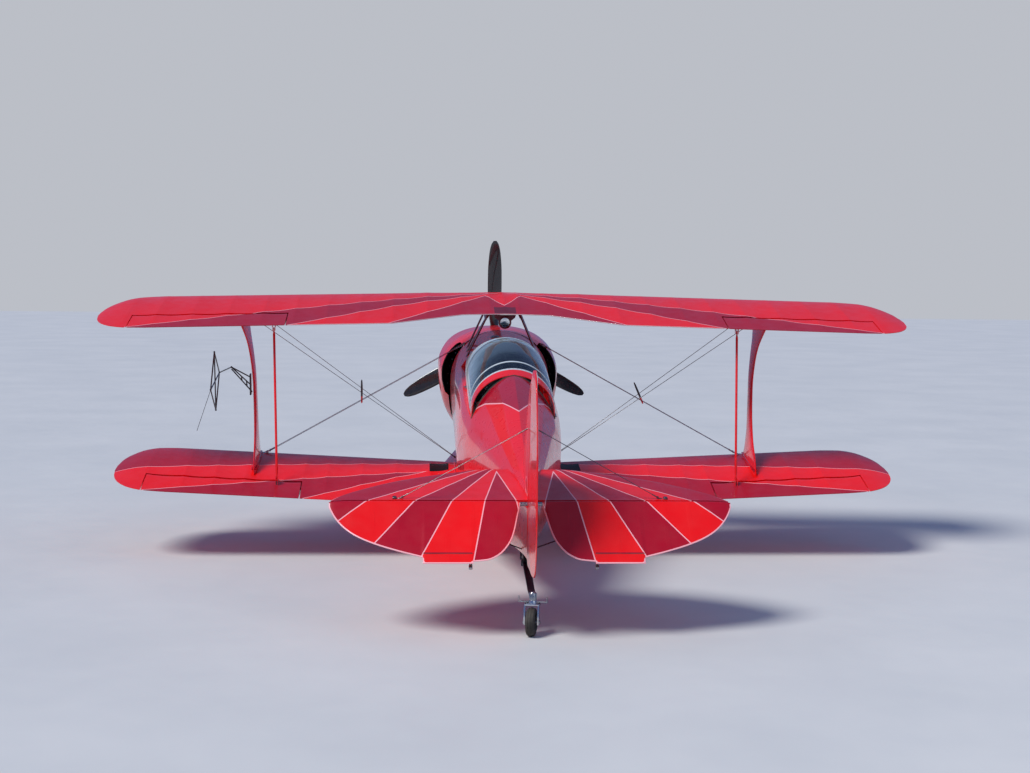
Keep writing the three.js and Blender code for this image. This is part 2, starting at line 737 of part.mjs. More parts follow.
function stick(y) {
  const foot = rod([0, y, tub.floor + gap], [0, y, tub.floor + 60], 35, 12);
  const shaft = rod([0, y, tub.floor + 30], [0, y - 40, -70], 12);
  const grip = rod([0, y - 40, -100], [0, y - 52, 30], 19);
  return joined([foot, shaft, grip]);
}

// Tail
const stabilizerRows = sections(["x", "front", "thickness"], [
  [20, -4190, 36], [214, -4195, 36], [490, -4290, 36], [812, -4463, 36], [1052, -4673, 34],
  [1130, -4765, 26], [1172, -4826, 16],
]);
const tailBack = tailHingeY + elevatorNose + runningGap;

function stabilizer(cutters) {
  const rings = stabilizerRows.map((row) => {
    const front = row.front;
    const h = row.thickness / 2;
    const depth = front - tailBack;
    const points = [[0, 0], [0.04, 0.55], [0.16, 0.92], [0.4, 1], [1, 0.94]];
    const over = points.map(([c, t]) => [row.x, front - c * depth, tailHingeZ + t * h]);
    const under = points.slice(1).map(([c, t]) => [row.x, front - c * depth, tailHingeZ - t * h]);
    return [...over.reverse(), ...under];
  });
  return without(loft(rings), cutters);
}

const elevatorRows = sections(["x", "chord", "nose"], [
  [66, 30, 14], [79, 84, 16], [100, 195, 17], [121, 275, 17], [150, 335, 17], [194, 394, 17],
  [262, 436, 17], [347, 448, 17], [348, 462, 17], [632, 462, 17], [634, 416, 17], [780, 368, 17],
  [924, 309, 17], [1020, 253, 17], [1090, 190, 16], [1140, 120, 14], [1172, 52, 11], [1180, 30, 9],
]);

function elevatorRing(row) {
  const ring = [];
  for (let i = 0; i <= 6; i++) {
    const t = (i / 6) * Math.PI;
    ring.push([row.x, row.nose * Math.sin(t), row.nose * Math.cos(t)]);
  }
  const edge = Math.min(4, row.nose * 0.5);
  return [...ring, [row.x, -row.chord, -edge], [row.x, -row.chord, edge]];
}

function elevator(withTube) {
  const blade = loft(elevatorRows.map(elevatorRing));
  if (!withTube) return blade;
  return blade.add(rod([-66 + gap, 0, 0], [80, 0, 0], tubeRadius, 16));
}

const finRows = sections(["z", "front", "thickness"], [
  [150, -4130, 44], [300, -4330, 44], [480, -4470, 42], [680, -4600, 38], [830, -4710, 32],
  [900, -4790, 24], [925, -4840, 14],
]);

function finBlade(grow = 0) {
  return loft(finRows.map((row) => {
    const h = row.thickness / 2 + grow;
    const front = row.front + grow;
    const depth = front - (sternY - grow);
    const points = [[0, 0], [0.04, 0.5], [0.16, 0.9], [0.42, 1], [1, 0.92]];
    const right = points.map(([c, t]) => [t * h, front - c * depth, row.z]);
    const left = points.slice(1).map(([c, t]) => [-t * h, front - c * depth, row.z]);
    return [...right.reverse(), ...left];
  }));
}

const rudderRows = sections(["z", "back", "nose", "edge"], [
  [-212, -4990, 14, 8], [-190, -5130, 18, 7], [-140, -5270, 20, 6], [-60, -5345, 20, 5],
  [60, -5368, 20, 5], [250, -5352, 20, 5], [450, -5312, 20, 5], [640, -5255, 20, 5],
  [790, -5190, 20, 5], [890, -5120, 19, 5], [950, -5050, 16, 5], [978, -4990, 10, 4],
]);

function rudder() {
  const rings = rudderRows.map((row) => {
    const ring = [];
    for (let i = 0; i <= 6; i++) {
      const t = (i / 6) * Math.PI;
      ring.push([row.nose * Math.cos(t), rudderHingeY + row.nose * Math.sin(t), row.z]);
    }
    return [...ring, [-row.edge, row.back, row.z], [row.edge, row.back, row.z]];
  });
  return without(loft(rings), [lugHeights.body, ...lugHeights.fin].map(rudderNotch));
}

const tailWireEnd = [800, -4815, tailHingeZ];

// A brace wire from the body's middle to the stabilizer, with a thicker end fitting
function tailWire(from, radius, cutters) {
  const wire = rod(from, tailWireEnd, radius, 6);
  const lug = rod(tailWireEnd, between(tailWireEnd, from, 0.12), 9, 6);
  return without(wire.add(lug), cutters);
}

const tailWireUpper = (cutters) => tailWire([0, -4780, 610], wireRadius, cutters);
const tailWireLower = (cutters) => tailWire([0, -4640, -215], wireRadius + 2, cutters);

// Main gear
const mainCentre = toAirframe(mainAxle.y, mainAxle.z);
const pantRows = sections(bodyColumns, [
  [300, 24, 26, 0, -24, 2.2, 2.2], [265, 62, 88, 0, -72, 2.2, 2.4], [180, 92, 150, 0, -105, 2.2, 2.6],
  [60, 104, 186, 0, -118, 2.2, 3], [-80, 104, 194, 0, -118, 2.2, 3], [-220, 94, 170, 0, -112, 2.2, 3],
  [-360, 72, 124, 0, -96, 2.2, 2.8], [-480, 42, 72, 0, -68, 2.2, 2.4], [-560, 12, 22, 0, -34, 2.2, 2.2],
]);

function pantShape(grow) {
  const rings = pantRows.map((s) => bodyRing(s, grow, 16).map((p) => [
    p[0] + halfTrack, p[1] + mainCentre.y, p[2] + mainCentre.z,
  ]));
  return loft(rings);
}

const pantWell = { half: 76, radius: 192, mouthHalf: 175 };
const axleSides = 16;

function wheelPant() {
  const { half, radius, mouthHalf } = pantWell;
  const { y, z } = mainCentre;
  const well = turnedAboutX([[-half, 0], [-half, radius], [half, radius], [half, 0]], [halfTrack, y, z], 24);
  const mouth = boxOf([halfTrack - half, y - mouthHalf, z - 400], [halfTrack + half, y + mouthHalf, z - 60]);
  const axleHole = rod([halfTrack - 300, y, z], [halfTrack, y, z], axleRadius + gap, axleSides);
  return without(pantShape(0), [well, mouth, axleHole]);
}

function gearLeg(cutters) {
  const { y, z } = mainCentre;
  const rows = sections(["x", "front", "back", "z", "thickness"], [
    [290, -1090, -1690, -560, 46],
    [540, y + 150, y - 330, -840, 42],
    [halfTrack - 90, y + 70, y - 80, z + 10, 38],
  ]);
  const leg = loft(rows.map((row) => Array.from({ length: 12 }, (_, i) => {
    const t = (i / 12) * 2 * Math.PI;
    const middle = (row.front + row.back) / 2;
    const half = (row.front - row.back) / 2;
    return [row.x + (row.thickness / 2) * Math.sin(t), middle + half * Math.cos(t), row.z];
  })));
  const axle = rod([halfTrack - 130, y, z], [halfTrack + 58, y, z], axleRadius, axleSides);
  return without(leg, cutters).add(axle);
}

function shockStrut(cutters) {
  const bar = rod([halfTrack - 150, mainCentre.y - 10, mainCentre.z + 45], [70, -1390, -600], 20, 10);
  return without(bar, cutters);
}

function mainTyre() {
  const profile = [
    [-40, 64], [-54, 82], [-tyreHalfWidth, 118], [-56, 152], [-34, 175], [0, tyreRadius],
    [34, 175], [56, 152], [tyreHalfWidth, 118], [54, 82], [40, 64], [-40, 64],
  ];
  return turnedAboutX(profile, [0, 0, 0], 32);
}

function mainHub() {
  const bore = axleRadius + gap;
  const profile = [
    [-46, bore], [-46, 48], [-30, 55], [-30, 63.7], [30, 63.7], [30, 55], [46, 48], [46, bore], [-46, bore],
  ];
  return turnedAboutX(profile, [0, 0, 0], 20);
}

// Tail wheel, in the part's own frame with its origin under the steering pivot
const crownTop = 203;
const tailBoltRadius = 8;

function tailSpring(cutters) {
  const pin = toAirframe(tailPivotY, 226);
  const outline = sections(["y", "z", "half", "thick"], [
    [-4380, -330, 24, 16], [-4600, -318, 24, 16], [-4850, -316, 22, 12],
    [-5020, -316, 21, 11], [pin.y - 4, pin.z, 21, 11],
  ]);
  const rings = outline.map((row) => [
    [-row.half, row.y, row.z], [row.half, row.y, row.z],
    [row.half, row.y, row.z + row.thick], [-row.half, row.y, row.z + row.thick],
  ]);
  const boss = toSolid(toGeometry(rod([0, 0, crownTop + gap], [0, 0, 250], 23, 16))
    .translate(0, tailPivotY, -hubHeight).rotateX(-noseUp));
  const saddle = boxOf([-22, -4600, -322], [22, -4420, -240]);
  return without(joined([loft(rings), boss, saddle]), cutters);
}

function tailFork() {
  const behind = tailAxleY - tailPivotY;
  const bridgeLow = 173;
  const bridgeTop = 186;
  const crown = rod([0, 0, bridgeLow], [0, 0, crownTop], 24, 16);
  const bridge = boxOf([-44, -40, bridgeLow], [44, 22, bridgeTop]);
  const arms = [-44, 36].map((x) => sidePlate(
    [[14, bridgeTop], [-36, bridgeTop], [behind - 16, 66], [behind + 16, 66]], x, x + 8,
  ));
  const bolt = rod([-50, behind, tailTyreRadius], [50, behind, tailTyreRadius], tailBoltRadius, 12);
  const steeringArm = boxOf([-86, -5, 188], [86, 9, 197]);
  const ends = [-82, 82].map((x) => rod([x, 2, 190], [x, 2, 226], 4, 6));
  return joined([crown, bridge, ...arms, bolt, steeringArm, ...ends]);
}

function tailTyre() {
  const bore = tailBoltRadius + gap;
  const profile = [
    [-22, bore], [-22, 30], [-14, 36], [-27, 60], [-20, 78], [0, tailTyreRadius],
    [20, 78], [27, 60], [14, 36], [22, 30], [22, bore], [-22, bore],
  ];
  return turnedAboutX(profile, [0, tailAxleY - tailPivotY, tailTyreRadius], 28);
}

// Assembly
const part = new THREE.Group();
const airframe = new THREE.Group();
airframe.rotation.x = noseUp;
airframe.position.set(0, hubForward, hubHeight);
part.add(airframe);

function place(parent, name, solid, colour, roughness = 0.45, metalness = 0, position = [0, 0, 0]) {
  const material = new THREE.MeshStandardMaterial({ color: colours[colour], roughness, metalness });
  const mesh = new THREE.Mesh(toGeometry(solid), material);
  mesh.name = name;
  mesh.position.set(...position);
  parent.add(mesh);
  return mesh;
}

function placePair(parent, name, solid, ...look) {
  place(parent, `${name}_R`, solid, ...look);
  place(parent, `${name}_L`, portside(solid), ...look);
}

const bodyCut = fuselageBody(gap);
const cowlCut = cowlOuter(gap);
const upperFull = upperWhole();
const upperCut = upperWhole(gap);
const lowerRight = lowerWhole();
const lowerCutRight = lowerWhole(gap);

place(airframe, "fuselage", fuselage(), "red");
const cowling = cowlingHalves();
place(airframe, "cowling_top", cowling.top, "red");
place(airframe, "cowling_bottom", cowling.bottom, "red");
place(airframe, "engine", engineBlock(), "dark", 0.6, 0.4);
place(airframe, "propeller", propeller(), "black", 0.35);
place(airframe, "spinner", spinner(), "red", 0.3);

const upperBays = wingWithBay(upperFull, true);
place(airframe, "upper_wing", portside(wingWithBay(portside(upperBays), true)), "red");
const lowerWing = wingWithBay(lowerRight, false).subtract(bodyCut);
placePair(airframe, "lower_wing", lowerWing, "red");
const upperFlap = aileron(upperFull, true);
const lowerFlap = aileron(lowerRight, false);
placePair(airframe, "upper_aileron", upperFlap, "crimson");
placePair(airframe, "lower_aileron", lowerFlap, "crimson");
const strut = interplaneStrut([upperCut, lowerCutRight]);
placePair(airframe, "i_strut", strut, "red");
placePair(airframe, "slave_strut", slaveStrut(), "red");
placePair(airframe, "cabane", cabane([upperCut, bodyCut, cowlCut]), "crimson", 0.5);
placePair(airframe, "flying_wires", flyingWires([upperCut, bodyCut]), "steel", 0.35, 0.8);
const landingCuts = [lowerCutRight, bodyCut, flyingWires([])];
placePair(airframe, "landing_wires", landingWires(landingCuts), "steel", 0.35, 0.8);
place(airframe, "sight_frame", sightFrame([portside(strut)]), "black");
place(airframe, "mirror", mirror([upperCut]), "crimson", 0.3);
place(airframe, "windshield", windshield(), "glass", 0.05);
const canopy = canopyParts();
place(airframe, "canopy_frame", canopy.frame, "red");
place(airframe, "canopy_glass", canopy.glass, "glass", 0.05);
place(airframe, "panel_front", instrumentPanel(-1524, 300), "dark");
place(airframe, "panel_rear", instrumentPanel(-2235, 385), "red");
for (const [name, y] of [["front", -2030], ["rear", -2720]]) {
  place(airframe, `seat_${name}`, seat(y), "dark", 0.6);
  place(airframe, `cushion_${name}`, joined(Object.values(seatCushions(y))), "leather", 0.8);
}
place(airframe, "stick_front", stick(-1635), "black");
place(airframe, "stick_rear", stick(-2325), "black");

const finCut = finBlade(gap);
const stabilizerRight = stabilizer([bodyCut, finCut]);
placePair(airframe, "stabilizer", stabilizerRight, "red");
const elevatorRight = elevator(false);
const elevatorPivot = [0, tailHingeY, tailHingeZ];
for (const [name, solid] of [["elevator_R", elevatorRight], ["elevator_L", portside(elevator(true))]]) {
  place(airframe, name, solid, "red", 0.45, 0, elevatorPivot).rotation.x = elevatorDroop;
}
const finSolid = without(finBlade(), [bodyCut, tubeBore]);
place(airframe, "fin", joined([finSolid, ...lugHeights.fin.map(rudderLug)]), "red");
place(airframe, "rudder", rudder(), "red");
placePair(airframe, "tail_wire_upper", tailWireUpper([finCut, stabilizerRight]), "steel", 0.35, 0.8);
placePair(airframe, "tail_wire_lower", tailWireLower([bodyCut, stabilizerRight]), "steel", 0.35, 0.8);

const pantCut = pantShape(gap);
const leg = gearLeg([bodyCut, cowlCut, pantCut]);
placePair(airframe, "gear_leg", leg, "red");
placePair(airframe, "shock_strut", shockStrut([bodyCut, leg]), "black");
placePair(airframe, "wheel_pant", wheelPant(), "red");
for (const [name, side] of [["R", 1], ["L", -1]]) {
  const at = [side * halfTrack, mainCentre.y, mainCentre.z];
  place(airframe, `tyre_${name}`, mainTyre(), "rubber", 0.9, 0, at);
  place(airframe, `hub_${name}`, mainHub(), "alloy", 0.4, 0.7, at);
}
place(airframe, "tail_spring", tailSpring([bodyCut]), "dark", 0.5, 0.6);

const steering = new THREE.Group();
steering.position.set(0, hubForward + tailPivotY, 0);
steering.rotation.z = tailWheelTurn;
part.add(steering);
place(steering, "tail_fork", tailFork(), "dark", 0.4, 0.7);
place(steering, "tail_tyre", tailTyre(), "rubber", 0.9);

export default part;
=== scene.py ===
import math

import bmesh
import bpy
from mathutils import Matrix, Vector


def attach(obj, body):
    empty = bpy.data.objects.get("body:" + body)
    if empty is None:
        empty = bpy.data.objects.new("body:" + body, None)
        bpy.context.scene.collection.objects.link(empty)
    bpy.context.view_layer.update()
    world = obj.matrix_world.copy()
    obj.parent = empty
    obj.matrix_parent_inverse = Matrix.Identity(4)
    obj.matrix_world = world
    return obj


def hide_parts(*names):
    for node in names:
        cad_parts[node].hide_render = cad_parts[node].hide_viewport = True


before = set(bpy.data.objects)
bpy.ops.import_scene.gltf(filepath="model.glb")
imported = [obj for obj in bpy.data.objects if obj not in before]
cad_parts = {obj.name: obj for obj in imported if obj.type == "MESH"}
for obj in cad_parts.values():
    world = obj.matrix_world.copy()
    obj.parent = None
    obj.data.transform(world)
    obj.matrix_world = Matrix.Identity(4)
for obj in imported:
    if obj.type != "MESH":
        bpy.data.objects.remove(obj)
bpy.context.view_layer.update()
print("frame loaded")

# The airframe's own space: origin at the propeller hub, +Y to the nose, +X to starboard, pitched
# nose-up as it stands. Every table below is in millimetres in that space
stance = {"hubForward": 2.536, "hubHeight": 1.431, "noseUp": 10.23}
airframe = (
    Matrix.Translation((0, stance["hubForward"], stance["hubHeight"]))
    @ Matrix.Rotation(math.radians(stance["noseUp"]), 4, "X")
)
ground = Matrix.Identity(4)
welding = {"tables": 0.01, "pieces": 1e-5}   # how near two corners are the same: mm, then metres


# Curves through tables

def slopesOf(keys, values):
    secants = [
        (v1 - v0) / (k1 - k0) for k0, k1, v0, v1 in zip(keys, keys[1:], values, values[1:])
    ]
    inner = [0 if a * b <= 0 else 2 * a * b / (a + b) for a, b in zip(secants, secants[1:])]
    return [secants[0], *inner, secants[-1]]


def rowAt(rows, key):
    # one row at any value of the first column, on smooth curves through all the rows
    keys = [row[0] for row in rows]
    way = 1 if keys[-1] > keys[0] else -1
    i = 0
    while i < len(keys) - 2 and way * key > way * keys[i + 1]:
        i += 1
    span = keys[i + 1] - keys[i]
    t = min(1, max(0, (key - keys[i]) / span))
    found = []
    for column in zip(*rows):
        slopes = slopesOf(keys, column)
        found.append(
            (2 * t**3 - 3 * t**2 + 1) * column[i] + (t**3 - 2 * t**2 + t) * span * slopes[i]
            + (3 * t**2 - 2 * t**3) * column[i + 1] + (t**3 - t**2) * span * slopes[i + 1]
        )
    return found


def steps(start, end, count):
    return [start + (end - start) * i / count for i in range(count + 1)]


def between(a, b, share):
    return [p + share * (q - p) for p, q in zip(a, b)]


def ease(t):
    t = min(1, max(0, t))
    return t * t * (3 - 2 * t)


def arc(low, high, count):
    # cosines and sines of evenly spread angles in degrees
    turns = [math.radians(t) for t in steps(low, high, count)]
    return [(math.cos(t), math.sin(t)) for t in turns]


def circle(count):
    return arc(0, 360, count)[:-1]


def smoothPath(points, perSpan):
    # a rounded line through given points
    points = [Vector(p) for p in points]
    padded = [2 * points[0] - points[1], *points, 2 * points[-1] - points[-2]]
    path = []
    for a, b, c, d in zip(padded, padded[1:], padded[2:], padded[3:]):
        for i in range(perSpan):
            t = i / perSpan
            path.append(0.5 * (
                2 * b + (c - a) * t + (2 * a - 5 * b + 4 * c - d) * t**2
                + (3 * b - a - 3 * c + d) * t**3
            ))
    return [*path, points[-1]]


# Shapes are pairs of corner points and faces

def loft(rings, capStart=True, capEnd=True):
    count = len(rings[0])
    verts = [tuple(p) for ring in rings for p in ring]
    faces = []
    for r in range(len(rings) - 1):
        for i in range(count):
            j = (i + 1) % count
            faces.append((r * count + i, r * count + j, (r + 1) * count + j, (r + 1) * count + i))
    if capStart:
        faces.append(tuple(reversed(range(count))))
    if capEnd:
        faces.append(tuple(range((len(rings) - 1) * count, len(rings) * count)))
    return verts, faces


def joined(*shapes):
    verts, faces = [], []
    for shape in shapes:
        start = len(verts)
        verts += shape[0]
        faces += [tuple(start + i for i in face) for face in shape[1]]
    return verts, faces


def mirrored(shape):
    return [(-x, y, z) for x, y, z in shape[0]], [tuple(reversed(face)) for face in shape[1]]


def bothSides(shape):
    return joined(shape, mirrored(shape))


def moved(shape, matrix):
    return [tuple(matrix @ Vector(p)) for p in shape[0]], shape[1]


def lathe(profile, count):
    # turned about Z from (radius, height) pairs that start and end on the axis or close on themselves
    rings = [[(r * c, r * s, h) for r, h in profile] for c, s in circle(count)]
    verts, faces = loft([*rings, rings[0]], False, False)
    size = len(profile)
    onAxis = abs(profile[0][0]) < 1e-6 and abs(profile[-1][0]) < 1e-6
    if onAxis:
        faces = [f for n, f in enumerate(faces) if n % size != size - 1]
    return verts, faces


def turnTo(way):
    return Vector((0, 0, 1)).rotation_difference(Vector(way)).to_matrix().to_4x4()


def turned(profile, centre, way, count):
    return moved(lathe(profile, count), Matrix.Translation(centre) @ turnTo(way))


def tubeRings(path, radius, sides, chordAlong=None, flat=1):
    path = [Vector(p) for p in path]
    last = None
    rings = []
    for i, point in enumerate(path):
        way = (path[min(i + 1, len(path) - 1)] - path[max(i - 1, 0)]).normalized()
        if chordAlong is not None:
            side = Vector(chordAlong)
        else:
            side = last or (Vector((0, 0, 1)) if abs(way.z) < 0.9 else Vector((1, 0, 0)))
        side = (side - way * side.dot(way)).normalized()
        last = side
        other = way.cross(side)
        r = radius[i] if isinstance(radius, (list, tuple)) else radius
        rings.append([point + side * r * c + other * r * flat * s for c, s in circle(sides)])
    return rings


def tube(path, radius, sides, **more):
    # a round bar along a path, or a streamlined one whose wide side lies along a given way
    return loft(tubeRings(path, radius, sides, **more))


def rod(start, end, radius, sides, **more):
    return tube([start, end], radius, sides, **more)


def box(low, high):
    (x0, y0, z0), (x1, y1, z1) = low, high
    verts = [(x, y, z) for x in (x0, x1) for y in (y0, y1) for z in (z0, z1)]
    faces = [(0, 1, 3, 2), (4, 6, 7, 5), (0, 4, 5, 1), (2, 3, 7, 6), (0, 2, 6, 4), (1, 5, 7, 3)]
    return verts, faces


def roundedOutline(halfU, halfV, radius, count):
    # a rectangle about the origin with its corners rounded
    outline = []
    for k, (signU, signV) in enumerate([(1, 1), (-1, 1), (-1, -1), (1, -1)]):
        for c, s in arc(90 * k, 90 * (k + 1), count):
            outline.append((signU * (halfU - radius) + radius * c, signV * (halfV - radius) + radius * s))
    return outline


def softBox(low, high, radius, axis=2):
    # rounded about one axis, with its two ends chamfered
    others = [k for k in range(3) if k != axis]
    radius = min(radius, *((high[k] - low[k]) / 2.01 for k in others))
    start, end = low[axis], high[axis]
    chamfer = min(radius * 0.4, (end - start) / 3)
    middles = [(low[k] + high[k]) / 2 for k in others]
    halves = [(high[k] - low[k]) / 2 for k in others]
    rings = []
    for at, inset in ((start, chamfer), (start + chamfer, 0), (end - chamfer, 0), (end, chamfer)):
        ring = []
        for u, v in roundedOutline(halves[0] - inset, halves[1] - inset, radius - inset, 5):
            point = [at, at, at]
            point[others[0]], point[others[1]] = middles[0] + u, middles[1] + v
            ring.append(tuple(point))
        rings.append(ring)
    return loft(rings)


def studs(spots, radius, height, sides=10):
    # low domed heads at places with the ways they face
    sunk, shoulder, crown = -0.6, height * 0.4, radius * 0.6
    head = lathe([(0, sunk), (radius, sunk), (radius, shoulder), (crown, height), (0, height)], sides)
    return joined(*[moved(head, Matrix.Translation(place) @ turnTo(way)) for place, way in spots])


def sidePlate(outline, x0, x1):
    # cut from an outline of (y, z) points
    return loft([[(x, y, z) for y, z in outline] for x in (x0, x1)])


def crossPlate(outline, y0, y1):
    # cut from an outline of (x, z) points
    return loft([[(x, y, z) for x, z in outline] for y in (y0, y1)])


def plainObject(name, shape, scale=1.0):
    mesh = bpy.data.meshes.new(name)
    mesh.from_pydata([[c * scale for c in p] for p in shape[0]], [], shape[1])
    made = bpy.data.objects.new(name, mesh)
    bpy.context.scene.collection.objects.link(made)
    return made


def tidied(shape):
    # one closed skin with merged corners and its faces pointing out
    soft = bmesh.new()
    corners = [soft.verts.new(p) for p in shape[0]]
    for face in shape[1]:
        if len(set(face)) > 2:
            soft.faces.new([corners[i] for i in face])
    bmesh.ops.remove_doubles(soft, verts=soft.verts, dist=welding["tables"])
    bmesh.ops.recalc_face_normals(soft, faces=soft.faces)
    soft.verts.index_update()
    verts = [tuple(v.co) for v in soft.verts]
    faces = [tuple(v.index for v in f.verts) for f in soft.faces]
    soft.free()
    return verts, faces


def discard(*objects):
    for old in objects:
        mesh = old.data
        bpy.data.objects.remove(old)
        bpy.data.meshes.remove(mesh)


def evaluated(thing):
    return thing.evaluated_get(bpy.context.evaluated_depsgraph_get())


def carved(shape, *cutters, keep=False):
    # the shape without its cutters, or with keep only what lies inside them
    target = plainObject("target", tidied(shape))
    tools = [plainObject("cutter", tidied(cutter)) for cutter in cutters]
    for tool in tools:
        cut = target.modifiers.new("cut", "BOOLEAN")
        cut.operation = "INTERSECT" if keep else "DIFFERENCE"
        cut.solver = "EXACT"
        cut.object = tool
    ready = evaluated(target).to_mesh()
    result = [tuple(v.co) for v in ready.vertices], [tuple(f.vertices) for f in ready.polygons]
    discard(target, *tools)
    return result


def addPiece(name, parts, slot, body="root", stands=(), place=airframe, turn=ground,
             sharp=35, bevel=0, marks=None):
    # parts are pairs of a shape and the name of its finish; marks are per-corner values that the
    # finish reads. A turn moves the finished piece, and its finish with it
    soft = bmesh.new()
    layers = {mark: soft.verts.layers.float.new(mark) for mark in marks or {}}
    used = []
    n = 0
    for (verts, faces), finish in parts:
        if finish not in used:
            used.append(finish)
        corners = []
        for p in verts:
            corner = soft.verts.new(place @ (Vector(p) / 1000))
            for mark, layer in layers.items():
                corner[layer] = marks[mark][n]
            corners.append(corner)
            n += 1
        for face in faces:
            if len(set(face)) > 2:
                soft.faces.new([corners[i] for i in face]).material_index = used.index(finish)
    bmesh.ops.remove_doubles(soft, verts=soft.verts, dist=welding["pieces"])
    bmesh.ops.recalc_face_normals(soft, faces=soft.faces)
    mesh = bpy.data.meshes.new(name)
    soft.to_mesh(mesh)
    soft.free()
    for finish in used:
        mesh.materials.append(finishes[finish])
    mesh.shade_smooth()
    mesh.set_sharp_from_angle(angle=math.radians(sharp))
    piece = bpy.data.objects.new(name, mesh)
    bpy.context.scene.collection.objects.link(piece)
    piece.matrix_world = turn
    if bevel:
        edge = piece.modifiers.new("edges", "BEVEL")
        edge.width = bevel / 1000
        edge.segments = 2
        edge.limit_method = "ANGLE"
        edge.angle_limit = math.radians(40)
        edge.harden_normals = True
    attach(piece, body)
    if stands:
        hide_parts(*stands)
    return piece


def toPort(parts):
    return [(mirrored(shape), finish) for shape, finish in parts]


def addPair(name, parts, slot, body="root", stands=(), **more):
    # a starboard piece and its mirror image; the names that end in _ take the side
    for side, own in (("R", parts), ("L", toPort(parts))):
        bodyName = body + side if body.endswith("_") else body
        addPiece(name + side, own, slot, bodyName, [node + side for node in stands], **more)


# Finishes

def addNode(tree, kind, inputs=None, **options):
    made = tree.nodes.new("ShaderNode" + kind)
    for option, value in options.items():
        setattr(made, option, value)
    for socket, value in (inputs or {}).items():
        if isinstance(value, bpy.types.NodeSocket):
            tree.links.new(value, made.inputs[socket])
        else:
            made.inputs[socket].default_value = value
    return made


def sums(tree, operation, *values):
    return addNode(tree, "Math", dict(enumerate(values)), operation=operation).outputs[0]


def product(tree, a, b):
    return sums(tree, "MULTIPLY", a, b)


def mixColours(tree, share, under, over):
    return addNode(tree, "Mix", {0: share, 6: under, 7: over}, data_type="RGBA").outputs[2]


def speckle(tree, place, scale, detail=4, low=0.0, high=1.0):
    texture = addNode(tree, "TexNoise", {"Vector": place, "Scale": scale, "Detail": detail})
    return addNode(tree, "MapRange", {
        "Value": texture.outputs[0], "From Min": 0.3, "From Max": 0.7, "To Min": low, "To Max": high,
    }).outputs[0]


def srgb(red, green, blue):
    def linear(c):
        c /= 255
        return c / 12.92 if c <= 0.04045 else ((c + 0.055) / 1.055) ** 2.4
    return (linear(red), linear(green), linear(blue), 1)


def shade(colour, factor):
    return tuple(min(1, c * factor) for c in colour[:3]) + (1,)


colours = {
    "bright": srgb(241, 12, 15), "crimson": srgb(176, 2, 34), "pin": srgb(250, 176, 182),
    "black": srgb(16, 16, 19), "dark": srgb(40, 41, 45), "steel": srgb(168, 170, 174),
    "dust": srgb(178, 168, 152), "wine": srgb(104, 6, 24),
}


def startFinish(name, sockets):
    material = bpy.data.materials.new(name)
    material.use_nodes = True
    tree = material.node_tree
    shader = tree.nodes["Principled BSDF"]
    for socket, value in sockets.items():
        shader.inputs[socket].default_value = value
    # the finishes are laid out in the airframe's space, not on the ground's
    place = addNode(tree, "Mapping", {
        "Vector": addNode(tree, "TexCoord").outputs["Object"],
        "Location": (0, stance["hubForward"], stance["hubHeight"]),
        "Rotation": (math.radians(stance["noseUp"]), 0, 0),
    }, vector_type="TEXTURE").outputs[0]
    return material, tree, shader, place


def dress(tree, shader, colour, roughness, height, bumpDistance):
    bump = addNode(tree, "Bump", {"Height": height, "Distance": bumpDistance}).outputs[0]
    for socket, value in (("Base Color", colour), ("Roughness", roughness), ("Normal", bump)):
        tree.links.new(value, shader.inputs[socket])


def axesOf(tree, place):
    return addNode(tree, "SeparateXYZ", {0: place}).outputs


def inZone(tree, place, zone):
    # how far a point lies inside a zone on both sides: the least of its distances from its lines
    split = axesOf(tree, place)
    across, along = sums(tree, "ABSOLUTE", split[0]), split[1]
    least = None
    for (x0, y0), (x1, y1) in zone["lines"]:
        length = math.hypot(x1 - x0, y1 - y0)
        a, b = (y1 - y0) / length, (x0 - x1) / length
        c = -a * x0 - b * y0
        if a * zone["inside"][0] + b * zone["inside"][1] + c < 0:
            a, b, c = -a, -b, -c
        part = sums(tree, "MULTIPLY_ADD", across, a, sums(tree, "MULTIPLY_ADD", along, b, c / 1000))
        least = part if least is None else sums(tree, "MINIMUM", least, part)
    return least


def painted(tree, place, zones, pinWidth, outline=None):
    # bright ground with crimson zones and pale pinstripes on their edges
    crimson, pin = 0.0, 0.0
    for zone in zones:
        inside = inZone(tree, place, zone)
        mask = sums(tree, "GREATER_THAN", inside, 0)
        line = sums(tree, "LESS_THAN", sums(tree, "ABSOLUTE", inside), pinWidth / 2000)
        if "above" in zone:
            high = sums(tree, "GREATER_THAN", axesOf(tree, place)[2], zone["above"] / 1000)
            mask = product(tree, mask, high)
            line = product(tree, line, high)
        crimson = sums(tree, "MAXIMUM", mask, crimson)
        pin = sums(tree, "MAXIMUM", line, pin)
    if outline is not None:
        pin = sums(tree, "MAXIMUM", pin, sums(tree, "LESS_THAN", outline, pinWidth / 1000))
    fade = speckle(tree, place, 3.1)
    bright = mixColours(tree, fade, colours["bright"], shade(colours["bright"], 0.93))
    deep = mixColours(tree, fade, colours["crimson"], shade(colours["crimson"], 0.88))
    return mixColours(tree, pin, mixColours(tree, crimson, bright, deep), colours["pin"])


def weaveOf(tree, a, b, acrossScale, alongScale):
    return product(tree, sums(tree, "SINE", product(tree, a, acrossScale)),
                   sums(tree, "SINE", product(tree, b, alongScale)))


def grains(tree, place, scale):
    return addNode(tree, "TexVoronoi", {"Vector": place, "Scale": scale}).outputs["Distance"]


fabric = {"tape": 0.0125, "stitch": 0.06, "knotWide": 0.003, "knotLong": 0.09, "threads": 3900}


